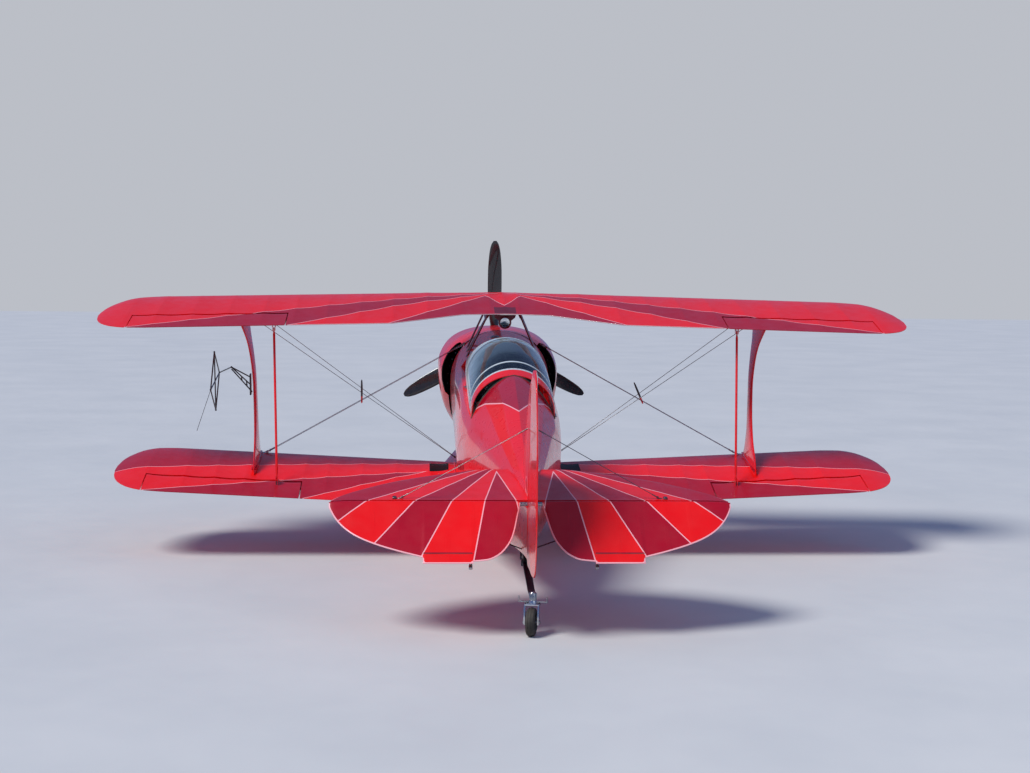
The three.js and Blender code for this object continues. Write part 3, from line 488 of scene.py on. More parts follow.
def fabricFinish(name, zones, pinWidth, edgeMark=None, walkway=None, patch=None):
    material, tree, shader, place = startFinish(name, {
        "Coat Weight": 0.25, "Coat Roughness": 0.12, "Specular IOR Level": 0.22,
    })
    outline = None
    if edgeMark:
        outline = addNode(tree, "Attribute", attribute_name=edgeMark).outputs["Fac"]
    colour = painted(tree, place, zones, pinWidth, outline)
    split = axesOf(tree, place)
    rib = addNode(tree, "Attribute", attribute_name="rib").outputs["Fac"]
    # sewn tape over each rib, with its knots, then the threads and slight unevenness of the cloth
    tape = sums(tree, "LESS_THAN", rib, fabric["tape"])
    beat = sums(tree, "FRACT", product(tree, split[1], 1 / fabric["stitch"]))
    knot = product(tree, sums(tree, "LESS_THAN", rib, fabric["knotWide"]),
                   sums(tree, "LESS_THAN", beat, fabric["knotLong"]))
    thread = weaveOf(tree, split[0], split[1], fabric["threads"], fabric["threads"])
    height = speckle(tree, place, 60, 3, 0, 0.12)
    for relief, strength in ((tape, 0.5), (knot, 0.6), (thread, 0.02)):
        height = sums(tree, "MULTIPLY_ADD", relief, strength, height)
    if patch:
        inside = sums(tree, "GREATER_THAN", inZone(tree, place, patch), 0)
        colour = mixColours(tree, inside, colour, colours["wine"])
    colour = mixColours(tree, speckle(tree, place, 9, 8, 0.0, 0.02), colour, colours["dust"])
    rough = speckle(tree, place, 14, 5, 0.28, 0.42)
    if walkway:
        inside = sums(tree, "GREATER_THAN", inZone(tree, place, walkway), 0)
        colour = mixColours(tree, inside, colour, colours["black"])
        rough = sums(tree, "MAXIMUM", rough, product(tree, inside, 0.9))
        height = sums(tree, "MULTIPLY_ADD", inside, grains(tree, place, 700), height)
    dress(tree, shader, colour, rough, height, 0.0006)
    return material


def enamelFinish(name, colour, zones=(), pinWidth=0, roughness=0.3, coat=0.7, wear=0.008, oval=None):
    # sprayed and polished paint on metal or moulded shells
    material, tree, shader, place = startFinish(name, {
        "Coat Weight": coat, "Coat Roughness": 0.035, "Specular IOR Level": 0.3,
    })
    if zones:
        base = painted(tree, place, zones, pinWidth)
    else:
        base = mixColours(tree, speckle(tree, place, 4.5), colour, shade(colour, 0.9))
    if oval:
        # an oval plate on the port side, with a pale rim
        split = axesOf(tree, place)
        sizes = zip(split[1:], oval["centre"], oval["half"])
        offs = [sums(tree, "DIVIDE", sums(tree, "SUBTRACT", s, c / 1000), h / 1000) for s, c, h in sizes]
        far = sums(tree, "MULTIPLY_ADD", offs[0], offs[0], product(tree, offs[1], offs[1]))
        port = sums(tree, "LESS_THAN", split[0], 0)
        for reach, tone in ((1.0, colours["pin"]), (oval["middle"], oval["colour"])):
            inside = product(tree, port, sums(tree, "LESS_THAN", far, reach * reach))
            base = mixColours(tree, inside, base, tone)
    colour = mixColours(tree, speckle(tree, place, 7, 8, 0.0, wear), base, colours["dust"])
    rough = speckle(tree, place, 18, 5, roughness - 0.06, roughness + 0.08)
    ripple = sums(tree, "ADD", speckle(tree, place, 160, 2, 0, 0.02), speckle(tree, place, 5, 1, 0, 0.6))
    dress(tree, shader, colour, rough, ripple, 0.0002)
    return material


def metalFinish(name, colour, roughness, brushed, grime=0.15):
    material, tree, shader, place = startFinish(name, {"Metallic": 1.0})
    base = mixColours(tree, speckle(tree, place, 35, 6), colour, shade(colour, 0.82))
    sooted = mixColours(tree, speckle(tree, place, 12, 8, 0, grime), base, colours["dark"])
    rough = speckle(tree, place, 90, 4, max(0.05, roughness - 0.08), roughness + 0.12)
    stretch = {"Vector": place, "Scale": (1, 1, 1 + 30 * brushed)}
    scratches = speckle(tree, addNode(tree, "Mapping", stretch).outputs[0], 260, 3, 0, 0.3)
    dress(tree, shader, sooted, rough, scratches, 0.0003)
    return material


def rubberFinish(name):
    material, tree, shader, place = startFinish(name, {"Specular IOR Level": 0.3})
    base = mixColours(tree, speckle(tree, place, 26, 6), srgb(27, 27, 28), srgb(44, 43, 41))
    dusty = mixColours(tree, speckle(tree, place, 8, 9, 0.0, 0.35), base, srgb(120, 112, 100))
    rough = speckle(tree, place, 50, 5, 0.6, 0.85)
    dress(tree, shader, dusty, rough, speckle(tree, place, 800, 4), 0.0003)
    return material


def leatherFinish(name, colour):
    material, tree, shader, place = startFinish(name, {"Specular IOR Level": 0.4})
    base = mixColours(tree, speckle(tree, place, 12, 6), colour, shade(colour, 0.7))
    grain = sums(tree, "ADD", grains(tree, place, 420), speckle(tree, place, 25, 3))
    dress(tree, shader, base, speckle(tree, place, 30, 5, 0.42, 0.62), grain, 0.0006)
    return material


def webbingFinish(name, colour):
    material, tree, shader, place = startFinish(name, {"Specular IOR Level": 0.2})
    split = axesOf(tree, place)
    weave = weaveOf(tree, split[0], split[2], 2600, 2100)
    base = mixColours(tree, sums(tree, "MULTIPLY_ADD", weave, 0.5, 0.5), colour, shade(colour, 0.6))
    dress(tree, shader, base, speckle(tree, place, 60, 4, 0.65, 0.85), weave, 0.0004)
    return material


def mixShaders(tree, share, under, over):
    return addNode(tree, "MixShader", {0: share, 1: under.outputs[0], 2: over.outputs[0]})


def glassFinish(name, tint):
    # clear acrylic: what is behind shows through, and the coat of reflection grows at a flat angle
    material, tree, shader, place = startFinish(name, {})
    tree.nodes.remove(shader)
    faint = mixColours(tree, speckle(tree, place, 6, 4), tint, shade(tint, 0.94))
    clear = addNode(tree, "BsdfTransparent", {"Color": faint})
    scuffs = speckle(tree, place, 40, 8, 0.015, 0.07)
    gloss = addNode(tree, "BsdfGlossy", {"Color": (0.9, 0.95, 1, 1), "Roughness": scuffs})
    coated = mixShaders(tree, addNode(tree, "Fresnel", {"IOR": 1.5}).outputs[0], clear, gloss)
    # a pale cyan diffuse layer lightens it where it is seen along its surface: a painted reflection of the
    # sky at a flat angle
    edge = sums(tree, "POWER", addNode(tree, "LayerWeight", {"Blend": 0.5}).outputs["Facing"], 13)
    skySheen = addNode(tree, "BsdfDiffuse", {"Color": (0.78, 0.93, 0.95, 1), "Roughness": 0.5})
    both = mixShaders(tree, product(tree, edge, 0.75), coated, skySheen)
    tree.links.new(both.outputs[0], tree.nodes["Material Output"].inputs["Surface"])
    return material


# Livery: crimson zones in plan, seen as (distance from the middle, y)
upperZones = [
    {"lines": [((0, -1090), (843, -2046)), ((0, -1525), (145, -1245))], "inside": (100, -1800)},
    {"lines": [((0, -1090), (1529, -2121)), ((0, -1090), (2584, -2216))], "inside": (1800, -2000)},
]
lowerZones = [
    {"lines": [((580, -1941), (2644, -2330))], "inside": (1500, -1800)},
    {"lines": [((581, -2136), (2580, -2734)), ((736, -2234), (1485, -2761))], "inside": (2000, -2700)},
]
tailApex = (145, -4090)
tailEnds = [(346, -5311), (647, -5290), (918, -5189), (1132, -5013)]
tailZones = [
    {"lines": [((150, -4450), (84, -4864)), (tailApex, tailEnds[0])], "inside": (170, -4900)},
    {"lines": [(tailApex, tailEnds[1]), (tailApex, tailEnds[2])], "inside": (700, -5100)},
    {"lines": [(tailApex, tailEnds[3])], "inside": (1150, -4700)},
]
walkwayZone = {
    "lines": [((576, -1922), (429, -1885)), ((429, -1885), (432, -2078)),
              ((432, -2078), (577, -2140)), ((577, -2140), (576, -1922))],
    "inside": (500, -2000),
}
mirrorPatch = {
    "lines": [((0, -1560), (84, -1560)), ((84, -1560), (84, -1720)), ((84, -1720), (0, -1720))],
    "inside": (40, -1600),
}
deckZones = [
    {"lines": [((0, -3580), (200, -3105)), ((0, -2900), (10, -2900))], "inside": (0, -3200), "above": 150},
]

finishes = {
    "upperFabric": fabricFinish("upper_wing_fabric", upperZones, pinWidth=6, patch=mirrorPatch),
    "lowerFabric": fabricFinish("lower_wing_fabric", lowerZones, pinWidth=6, walkway=walkwayZone),
    "tailFabric": fabricFinish("tail_fabric", tailZones, pinWidth=7, edgeMark="edge"),
    "body": enamelFinish("fuselage_enamel", colours["bright"], deckZones, pinWidth=7,
                         oval={"centre": (-4765, 240), "half": (112, 52), "middle": 0.8,
                               "colour": srgb(150, 22, 34)}),
    "enamel": enamelFinish("red_enamel", colours["bright"]),
    "crimsonEnamel": enamelFinish("crimson_enamel", colours["crimson"]),
    "black": enamelFinish("black_enamel", colours["black"], roughness=0.36, coat=0.5, wear=0.03),
    "matBlack": enamelFinish("mat_black_paint", colours["black"], roughness=0.7, coat=0.0, wear=0.06),
    "steel": metalFinish("brushed_steel", colours["steel"], 0.28, 0.6),
    "chrome": metalFinish("polished_steel", srgb(214, 216, 220), 0.1, 0.1, 0.05),
    "alloy": metalFinish("cast_alloy", srgb(150, 152, 156), 0.42, 0.2, 0.3),
    "engineGrey": metalFinish("engine_casting", srgb(96, 98, 102), 0.5, 0.1, 0.5),
    "exhaustSteel": metalFinish("exhaust_steel", srgb(126, 104, 84), 0.4, 0.2, 0.5),
    "rubber": rubberFinish("tyre_rubber"),
    "seal": rubberFinish("seal_rubber"),
    "leather": leatherFinish("cushion_leather", srgb(30, 26, 26)),
    "webbing": webbingFinish("harness_webbing", srgb(52, 56, 66)),
    "glass": glassFinish("canopy_acrylic", (0.86, 0.93, 0.97, 1)),
    "mirrorGlass": metalFinish("mirror_glass", srgb(225, 228, 232), 0.05, 0.0, 0.02),
    "dialWhite": enamelFinish("dial_white", srgb(226, 226, 220), roughness=0.4, coat=0.2),
    "blade": enamelFinish("blade_paint", srgb(30, 31, 34), roughness=0.28, coat=0.9, wear=0.04),
    "darkRed": enamelFinish("dark_red_enamel", colours["wine"], roughness=0.32, coat=0.8),
    "spindle": enamelFinish("spindle_paint", srgb(26, 20, 24), roughness=0.34, coat=0.8),
    "bow": enamelFinish("canopy_bow_paint", srgb(44, 14, 18), roughness=0.4, coat=0.6),
    "paleStrip": enamelFinish("pale_strip", srgb(232, 206, 206), roughness=0.35, coat=0.5, wear=0.04),
    "piping": leatherFinish("cushion_piping", srgb(120, 14, 22)),
    "wire": metalFinish("streamlined_wire_steel", srgb(118, 112, 112), 0.34, 0.4, 0.2),
    # pale strips on the canopy; their pale colour also stands in for the reflection along the acrylic's
    # edge: painted reflection
    "silverSheen": enamelFinish("silver_strip", srgb(206, 214, 216), roughness=0.3, coat=0.6, wear=0.05),
    "spring": metalFinish("spring_steel", srgb(58, 58, 62), 0.42, 0.4, 0.3),
}
print("finishes made")


# Body sections: superellipses about a waist, rounder above it and squarer below

def bodyPoint(row, turn, grow=0):
    y, half, top, waist, bottom, upper, lower = row
    c, s = math.cos(turn), math.sin(turn)
    power = 2 / (upper if s >= 0 else lower)
    height = (top - waist if s >= 0 else waist - bottom) + grow
    return (
        (half + grow) * math.copysign(abs(c) ** power, c),
        y,
        waist + height * math.copysign(abs(s) ** power, s),
    )


def bodyRing(row, count, grow=0):
    return [bodyPoint(row, 2 * math.pi * k / count, grow) for k in range(count)]


def skinSpot(row, turn, grow=0):
    # a place on the skin with the way it faces
    spot = Vector(bodyPoint(row, turn, grow))
    return spot, Vector(bodyPoint(row, turn, grow + 10)) - spot


def skinSpots(rows, y, low, high, count, grow=0):
    return [skinSpot(rowAt(rows, y), math.radians(t), grow) for t in steps(low, high, count)]


# Fuselage: columns y, half width, top, waist, bottom, roundness above, roundness below
fuselage = {
    "rows": [
        (-1000, 405, 345, -80, -585, 2.1, 3.0),
        (-1400, 388, 345, -80, -635, 2.0, 4.0),
        (-1800, 382, 400, -90, -660, 1.9, 4.5),
        (-2400, 380, 450, -95, -660, 1.8, 4.5),
        (-2950, 345, 458, -90, -610, 1.7, 4.0),
        (-3300, 290, 418, -60, -548, 1.7, 3.6),
        (-3800, 205, 335, 0, -450, 1.8, 3.2),
        (-4300, 112, 262, 60, -330, 2.0, 3.0),
        (-4700, 42, 215, 90, -235, 2.2, 3.0),
        (-4888, 22, 196, 90, -200, 2.4, 3.2),
    ],
    "sill": 143, "open": (-1420, -2950), "tub": (-1500, -2880), "tubHalf": 262, "floor": -455,
    "stringers": [0, 0.15, 0.31, 0.5, 0.69, 0.85, 1],   # shares of the way over the deck
    "facetFrom": -2960, "facetWhole": -3150, "below": 44,
}


def sillTurn(row, sill):
    _, _, top, waist, _, upper, _ = row
    return math.asin(min(1, ((sill - waist) / (top - waist)) ** (upper / 2)))


def deckArc(row, shares, sill):
    # points over the deck from the port sill to the starboard one
    start = sillTurn(row, sill)
    return [bodyPoint(row, math.pi - start - share * (math.pi - 2 * start)) for share in shares]


def fuselageRing(row, kind):
    y, sill, marks = row[0], fuselage["sill"], fuselage["stringers"]
    facet = ease((fuselage["facetFrom"] - y) / (fuselage["facetFrom"] - fuselage["facetWhole"]))
    corners = deckArc(row, marks, sill)
    inner = [0.04, 0.27, 0.5, 0.73, 0.96]
    deck = [corners[0]]
    for i in range(len(marks) - 1):
        shares = [marks[i] + t * (marks[i + 1] - marks[i]) for t in inner]
        for t, p in zip(inner, deckArc(row, shares, sill)):
            deck.append(tuple(between(p, between(corners[i], corners[i + 1], t), 0.85 * facet)))
        deck.append(corners[i + 1])
    count = len(deck)
    left, right = deck[0][0], deck[-1][0]
    if kind == "sill":
        deck = [(x, y, sill) for x in steps(left, right, count - 1)]
    if kind == "tub":
        half, floor = fuselage["tubHalf"], fuselage["floor"]
        path = [(left, sill), (-half, sill), (-half, floor), (half, floor), (half, sill), (right, sill)]
        spans = [2, 9, 14, 9, 2]
        deck = [(left, y, sill)]
        for (x0, z0), (x1, z1), n in zip(path, path[1:], spans):
            deck += [(x0 + (x1 - x0) * i / n, y, z0 + (z1 - z0) * i / n) for i in range(1, n + 1)]
    start = sillTurn(row, sill)
    below = steps(start, -math.pi - start, fuselage["below"])[1:-1]
    return deck + [bodyPoint(row, turn) for turn in below]


def fuselageShape():
    front, back = fuselage["open"]
    tubFront, tubBack = fuselage["tub"]
    plan = [("deck", steps(-1000, front, 8)), ("sill", steps(front, tubFront, 2)),
            ("tub", steps(tubFront, tubBack, 24)), ("sill", steps(tubBack, back, 2)),
            ("deck", [*steps(back, -3200, 7), *steps(-3200, -4888, 30)[1:]])]
    rings = []
    for kind, places in plan:
        rings += [fuselageRing(rowAt(fuselage["rows"], y), kind) for y in places]
    return loft(rings)


addPiece("fuselage_shell", [(fuselageShape(), "body")], "red_paint", stands=["fuselage"], sharp=40)
print("fuselage made")


# Cowling
cowling = {
    "rows": [
        (-62, 345, 150, -10, -215, 2.4, 2.4),
        (-110, 405, 190, -20, -275, 2.3, 2.3),
        (-230, 465, 222, -45, -365, 2.2, 2.3),
        (-450, 500, 262, -75, -455, 2.1, 2.4),
        (-700, 496, 312, -80, -525, 2.1, 2.6),
        (-860, 478, 330, -80, -560, 2.1, 2.75),
        (-999.7, 420, 345, -80, -590, 2.1, 2.9),
    ],
    "thickness": 9, "splitZ": -20, "gap": 1.2, "sides": 72, "lipPlaces": [-62, -70, -82, -96, -112],
    "cheek": [(-1100, 226), (-900, 226), (-866, 204), (-846, 120), (-850, 0), (-880, -100),
              (-940, -190), (-1100, -230)],
    "inlet": (205, -20, 85, 70, 55), "chin": (0, -168, 110, 37, 30),   # x, z, half sizes, corner radius
    "outlet": ((-200, -990, -800), (200, -800, -460)), "shaftHole": 95,
}


def roundedHole(x, z, halfX, halfZ, radius, y0, y1):
    outline = roundedOutline(halfX, halfZ, radius, 6)
    return crossPlate([(x + u, z + v) for u, v in outline], y0, y1)


def cowlingHalves():
    rows = [rowAt(cowling["rows"], y) for y in [*cowling["lipPlaces"], *steps(-130, -999.7, 30)]]
    t = cowling["thickness"]
    inner = [[(x, y - t, z) for x, y, z in bodyRing(row, cowling["sides"], -t)] for row in rows]
    inner[-1] = [(x, y - 20, z) for x, y, z in inner[-1]]
    whole = carved(
        loft([bodyRing(row, cowling["sides"]) for row in rows]),
        loft(inner),
        rod((0, -160, 0), (0, 0, 0), cowling["shaftHole"], 48),
        roundedHole(*cowling["inlet"], -170, 0),
        mirrored(roundedHole(*cowling["inlet"], -170, 0)),
        sidePlate(cowling["cheek"], 236, 900),
        sidePlate(cowling["cheek"], -900, -236),
        roundedHole(*cowling["chin"], -240, 0),
        box(*cowling["outlet"]),
    )
    split, gap = cowling["splitZ"], cowling["gap"]
    top = carved(whole, box((-700, -1100, split), (700, 0, 700)), keep=True)
    bottom = carved(whole, box((-700, -1100, -800), (700, 0, split - gap)), keep=True)
    return top, bottom


def isInside(point):
    # whether a point of the shell lies behind its lip and more than a paint's depth in from its face
    x, y, z = point
    depth = 3
    _, half, top, waist, bottom, upper, lower = rowAt(cowling["rows"], max(-999.7, min(-62, y)))
    tall, power = (top - waist, upper) if z >= waist else (waist - bottom, lower)
    return y < -70 and abs(x / (half - depth)) ** power + abs((z - waist) / (tall - depth)) ** power < 1


def outsideAndShadedInside(shape):
    verts, faces = shape
    dark, bright = [], []
    for face in faces:
        middle = sum((Vector(verts[i]) for i in face), Vector()) / len(face)
        (dark if isInside(middle) else bright).append(face)
    # the inner faces get mat black paint, which stands in for the shade inside the engine compartment:
    # painted shade
    return [((verts, bright), "enamel"), ((verts, dark), "matBlack")]


for name, shape in zip(("cowling_top", "cowling_bottom"), cowlingHalves()):
    addPiece(name + "_shell", outsideAndShadedInside(shape), "red_paint", stands=[name], sharp=30)
print("cowling made")


# Wings
wing = {"chord": 1016, "ratio": 0.118, "sag": 6.0, "tape": 12.5, "tipLength": 400, "edge": 2.4,
        "hingeFromBack": 270, "coveRadius": 40, "endGap": 8,
        "bayShares": (0.2, 0.35, 0.5, 0.65, 0.8),
        "tipShares": (0.5, 0.58, 0.66, 0.74, 0.8, 0.85, 0.89, 0.92, 0.945, 0.965, 0.98, 0.99, 0.996, 1)}
tipRows = [
    (0, 0, 0, 1), (0.35, 0.02, 0.015, 0.94), (0.62, 0.085, 0.065, 0.8), (0.82, 0.19, 0.155, 0.6),
    (0.95, 0.32, 0.28, 0.38), (1, 0.45, 0.42, 0.14),
]
upperWing = {
    "front": -976, "sweep": math.tan(math.radians(6.7)), "z": 637, "rise": 0.0, "halfSpan": 3050,
    "root": 0, "cut": (330, 860, 265), "aileron": (1650, 2775),
    "ribs": [0, 110, 330, 600, 860, 1110, 1356, 1595, 1830, 2090, 2350, 2607, 2820],
}
lowerWing = {
    "front": -1746, "sweep": 0.0, "z": -585, "rise": math.tan(math.radians(2.9)), "halfSpan": 2895,
    "root": 300, "cut": None, "aileron": (1520, 2640),
    "ribs": [300, 430, 577, 830, 1085, 1340, 1510, 1720, 1930, 2150, 2370, 2648],
}


def wingEdges(w, x):
    # the section's leading edge, trailing edge, middle height and share of full thickness
    front = w["front"] - x * w["sweep"]
    back = front - wing["chord"]
    if w["cut"] and x < w["cut"][1]:
        half, end, depth = w["cut"]
        back += depth * min(1, (end - x) / (end - half))
    along = (x - w["halfSpan"] + wing["tipLength"]) / wing["tipLength"]
    thick = 1
    if along > 0:
        _, drawFront, drawBack, thick = rowAt(tipRows, along)
        front -= drawFront * wing["chord"]
        back += drawBack * wing["chord"]
    return front, back, w["z"] + x * w["rise"], thick


def ribShare(w, x):
    # how far into its bay, from 0 at one rib to 1 at the next, and the distance to the nearest rib
    ribs = w["ribs"]
    for a, b in zip(ribs, ribs[1:]):
        if a <= x <= b:
            return (x - a) / (b - a), min(x - a, b - x)
    return 0, x - ribs[-1]


def skinHalf(w, x, share):
    front, back, _, thick = wingEdges(w, x)
    chord = front - back
    c = min(1, max(0, share))
    half = 5 * wing["ratio"] * thick * (
        0.2969 * math.sqrt(c) - 0.126 * c - 0.3516 * c**2 + 0.2843 * c**3 - 0.1036 * c**4
    ) * wing["chord"] * min(1, chord / wing["chord"] + 0.12)
    u, _ = ribShare(w, x)
    sag = wing["sag"] * 4 * u * (1 - u) * ease((c - 0.05) / 0.1) * ease((1 - c) / 0.25)
    return max(half - sag, wing["edge"] * min(1, c * 8))


def bayEnds(w):
    inner, outer = w["aileron"]
    return inner - wing["endGap"], outer + wing["endGap"]


def wingStations(w):
    places = {w["root"]}
    for a, b in zip(w["ribs"], w["ribs"][1:]):
        places |= {a, a + wing["tape"], b - wing["tape"]}
        places |= {a + (b - a) * t for t in wing["bayShares"]}
    last = w["ribs"][-1]
    places |= {last, last + wing["tape"], *bayEnds(w)}
    tipStart = w["halfSpan"] - wing["tipLength"]
    places |= {tipStart + wing["tipLength"] * t for t in wing["tipShares"]}
    if w["cut"]:
        places |= set(w["cut"][:2])
    return sorted(x for x in places if x >= w["root"])


coveAt = 0.707   # share of the chord ahead of the aileron
foreShares = [(1 - c) * coveAt for c, _ in arc(0, 90, 15)]
aftShares = steps(0.7136, 1, 6)[1:]


def wingRing(w, x, bay):
    front, back, z, _ = wingEdges(w, x)

    def at(share, side):
        return (x, front - share * (front - back), z + side * skinHalf(w, x, share))
    fore = [at(c, 1) for c in reversed(foreShares)] + [at(c, -1) for c in foreShares[1:]]
    if not bay:
        return fore + [at(c, -1) for c in aftShares] + [at(c, 1) for c in reversed(aftShares)]
    hinge, radius = back + wing["hingeFromBack"], wing["coveRadius"]
    spread = math.degrees(math.atan2(z - fore[-1][2], fore[-1][1] - hinge))
    cove = arc(-spread, spread, 2 * len(aftShares) + 1)[1:-1]
    return fore + [(x, hinge + radius * c, z + radius * s) for c, s in cove]


def wingHalf(w):
    inner, outer = bayEnds(w)
    rings = []
    ribMarks = []
    for x in wingStations(w):
        if x in (inner, outer):
            bays = [x == outer, x == inner]
        else:
            bays = [inner < x < outer]
        for bay in bays:
            rings.append(wingRing(w, x, bay))
            ribMarks += [ribShare(w, x)[1] / 1000] * len(rings[-1])
    return loft(rings, w["root"] > 0, True), ribMarks


upperShape, upperMarks = wingHalf(upperWing)
addPiece("upper_wing_skin", [(bothSides(upperShape), "upperFabric")], "red_fabric",
         stands=["upper_wing"], marks={"rib": upperMarks * 2}, sharp=50)
lowerShape, lowerMarks = wingHalf(lowerWing)
addPair("lower_wing_skin_", [(lowerShape, "lowerFabric")], "red_fabric",
        stands=["lower_wing_"], marks={"rib": lowerMarks}, sharp=50)


def hingedSection(radius, count, rear):
    # a round nose about the hinge and the faces behind it, from pairs of (way forward, half thickness)
    nose = [(radius * s, radius * c) for c, s in arc(0, 180, count)]
    return nose + [(y, -half) for y, half in rear] + [(y, half) for y, half in reversed(rear)]


def aileronRing(w, x):
    front, back, z, _ = wingEdges(w, x)
    hinge = back + wing["hingeFromBack"]
    start = (front - hinge) / (front - back)
    rear = [(front - c * (front - back) - hinge, skinHalf(w, x, c)) for c in steps(start, 1, 8)[1:]]
    return [(x, hinge + dy, z + dz) for dy, dz in hingedSection(skinHalf(w, x, start), 12, rear)]


def aileronShape(w):
    inner, outer = w["aileron"]
    places = [inner, *[x for x in wingStations(w) if inner + 3 < x < outer - 3], outer]
    rings = [aileronRing(w, x) for x in places]
    ribMarks = [min(ribShare(w, x)[1], x - inner, outer - x) / 1000 for x in places for _ in rings[0]]
    return loft(rings), ribMarks


for name, w, body in (("upper", upperWing, "top"), ("lower", lowerWing, "low")):
    shape, marksMade = aileronShape(w)
    addPair(name + "_aileron_skin_", [(shape, name + "Fabric")], "crimson_fabric",
            body=f"aileron_{body}_", stands=[name + "_aileron_"], marks={"rib": marksMade}, sharp=50)
print("wings made")


# Tail surfaces
tail = {
    "hingeY": -4864, "hingeZ": 160, "gap": 6, "nose": 17, "droop": 28, "sternY": -4888,
    "rudderHingeY": -4915, "sag": 1.6, "elevatorSag": 1.3, "edge": 3.4,
}
stabilizerRows = [
    (20, -4190, 36), (214, -4195, 36), (490, -4290, 36), (812, -4463, 36), (1052, -4673, 34),
    (1130, -4765, 26), (1172, -4826, 16),
]
elevatorInner = [
    (66, 30, 14), (79, 84, 16), (100, 195, 17), (121, 275, 17), (150, 335, 17), (194, 394, 17),
    (262, 436, 17), (347, 448, 17),
]
elevatorOuter = [
    (634, 416, 17), (780, 368, 17), (924, 309, 17), (1020, 253, 17), (1090, 190, 16), (1140, 120, 14),
    (1172, 52, 11), (1180, 30, 9),
]
tailRibs = [84, 214, 347, 490, 634, 780, 924, 1052, 1172]
sectionRows = [(0, 0), (0.012, 0.28), (0.04, 0.55), (0.16, 0.92), (0.4, 1), (1, 0.94)]


def nearestRib(x):
    return min(abs(x - rib) for rib in tailRibs)


def tailSag(x, depth):
    for a, b in zip(tailRibs, tailRibs[1:]):
        if a <= x <= b:
            u = (x - a) / (b - a)
            return depth * 4 * u * (1 - u)
    return 0


def edgeDistance(point, outline):
    p = Vector(point)
    best = 1e9
    for a, b in zip(outline, outline[1:]):
        a, b = Vector(a), Vector(b)
        t = min(1, max(0, (p - a).dot(b - a) / (b - a).length_squared))
        best = min(best, (p - a - t * (b - a)).length)
    return best


def fixedSection(shares, halfAt):
    # pairs of (share of the chord, height) all round, from the back over the nose to the back
    over = [(c, halfAt(c)) for c in shares]
    return list(reversed(over)) + [(c, -half) for c, half in over[1:]]


def stabilizerShape():
    back = tail["hingeY"] + tail["nose"] + tail["gap"]
    shares = [0, 0.004, 0.012, 0.03, 0.07, 0.13, 0.22, 0.36, 0.52, 0.7, 0.85, 0.95, 1]
    places = sorted({20, *steps(60, 1052, 31), *tailRibs[1:-1], 1085, 1108, 1130, 1146, 1158, 1166, 1172})
    rings, ribMarks, edgeMarks = [], [], []
    outline = [rowAt(stabilizerRows, x)[:2] for x in steps(20, 1172, 60)]
    for x in places:
        _, front, thick = rowAt(stabilizerRows, x)

        def halfAt(c):
            sag = tailSag(x, tail["sag"]) * ease((c - 0.05) / 0.2) * ease((1 - c) / 0.1)
            return max(0, rowAt(sectionRows, c)[1] * thick / 2 - sag)
        section = fixedSection(shares, halfAt)
        ring = [(x, front - c * (front - back), tail["hingeZ"] + h) for c, h in section]
        rings.append(ring)
        ribMarks += [nearestRib(x) / 1000] * len(ring)
        edgeMarks += [edgeDistance(p[:2], outline) / 1000 for p in ring]
    return loft(rings), ribMarks, edgeMarks


def elevatorRow(x):
    if x <= 347:
        return rowAt(elevatorInner, x)
    if x < 633:
        return (x, 462, 17)
    return rowAt(elevatorOuter, x)


def elevatorShape():
    places = [66, 69, 73, 79, 86, 93, 100, 110, 121, 135, *steps(150, 347, 10), 348,
              *steps(365, 615, 10), 632, 634, *steps(650, 1052, 20),
              1070, 1090, 1107, 1124, 1140, 1152, 1162, 1172, 1177, 1180]
    outline = [(66, 0)] + [(x, -elevatorRow(x)[1]) for x in places] + [(1180, 0)]
    shares = [0.05, 0.15, 0.3, 0.5, 0.7, 0.85, 0.93, 0.97, 0.985, 1]
    rings, ribMarks, edgeMarks = [], [], []
    for x in places:
        _, chord, nose = elevatorRow(x)
        edge, sag = min(tail["edge"], nose * 0.4), tailSag(x, tail["elevatorSag"])
        rear = [(-chord * c, nose + (edge - nose) * c - sag * ease(c / 0.2) * ease((0.95 - c) / 0.2))
                for c in shares]
        rear[-1] = (-chord, edge * 0.55)
        ring = [(x, y, z) for y, z in hingedSection(nose, 10, rear)]
        rings.append(ring)
        ribMarks += [nearestRib(x) / 1000] * len(ring)
        edgeMarks += [edgeDistance(p[:2], outline) / 1000 if p[1] < -2 else 0.05 for p in ring]
    toHinge = Matrix.Translation((0, tail["hingeY"], tail["hingeZ"]))
    return moved(loft(rings), toHinge), ribMarks, edgeMarks


hingePlace = Matrix.Translation((0, tail["hingeY"] / 1000, tail["hingeZ"] / 1000))
hinge = airframe @ hingePlace
elevatorTurn = hinge @ Matrix.Rotation(math.radians(tail["droop"]), 4, "X") @ hinge.inverted()
shape, ribMarks, edgeMarks = stabilizerShape()
addPair("stabilizer_skin_", [(shape, "tailFabric")], "red_fabric", stands=["stabilizer_"],
        marks={"rib": ribMarks, "edge": edgeMarks}, sharp=50)
shape, ribMarks, edgeMarks = elevatorShape()
addPair("elevator_skin_", [(shape, "tailFabric")], "crimson_fabric", body="elevators",
        stands=["elevator_"], turn=elevatorTurn, marks={"rib": ribMarks, "edge": edgeMarks}, sharp=50)

finRows = [
    (150, -4130, 44), (300, -4330, 44), (480, -4470, 42), (680, -4600, 38), (830, -4710, 32),
    (900, -4790, 24), (925, -4840, 14),
]
rudderRows = [
    (-212, -4990, 14, 8), (-190, -5130, 18, 7), (-140, -5270, 20, 6), (-60, -5345, 20, 5),
    (60, -5368, 20, 5), (250, -5352, 20, 5), (450, -5312, 20, 5), (640, -5255, 20, 5),
    (790, -5190, 20, 5), (890, -5120, 19, 5), (950, -5050, 16, 5), (978, -4990, 10, 4),
]


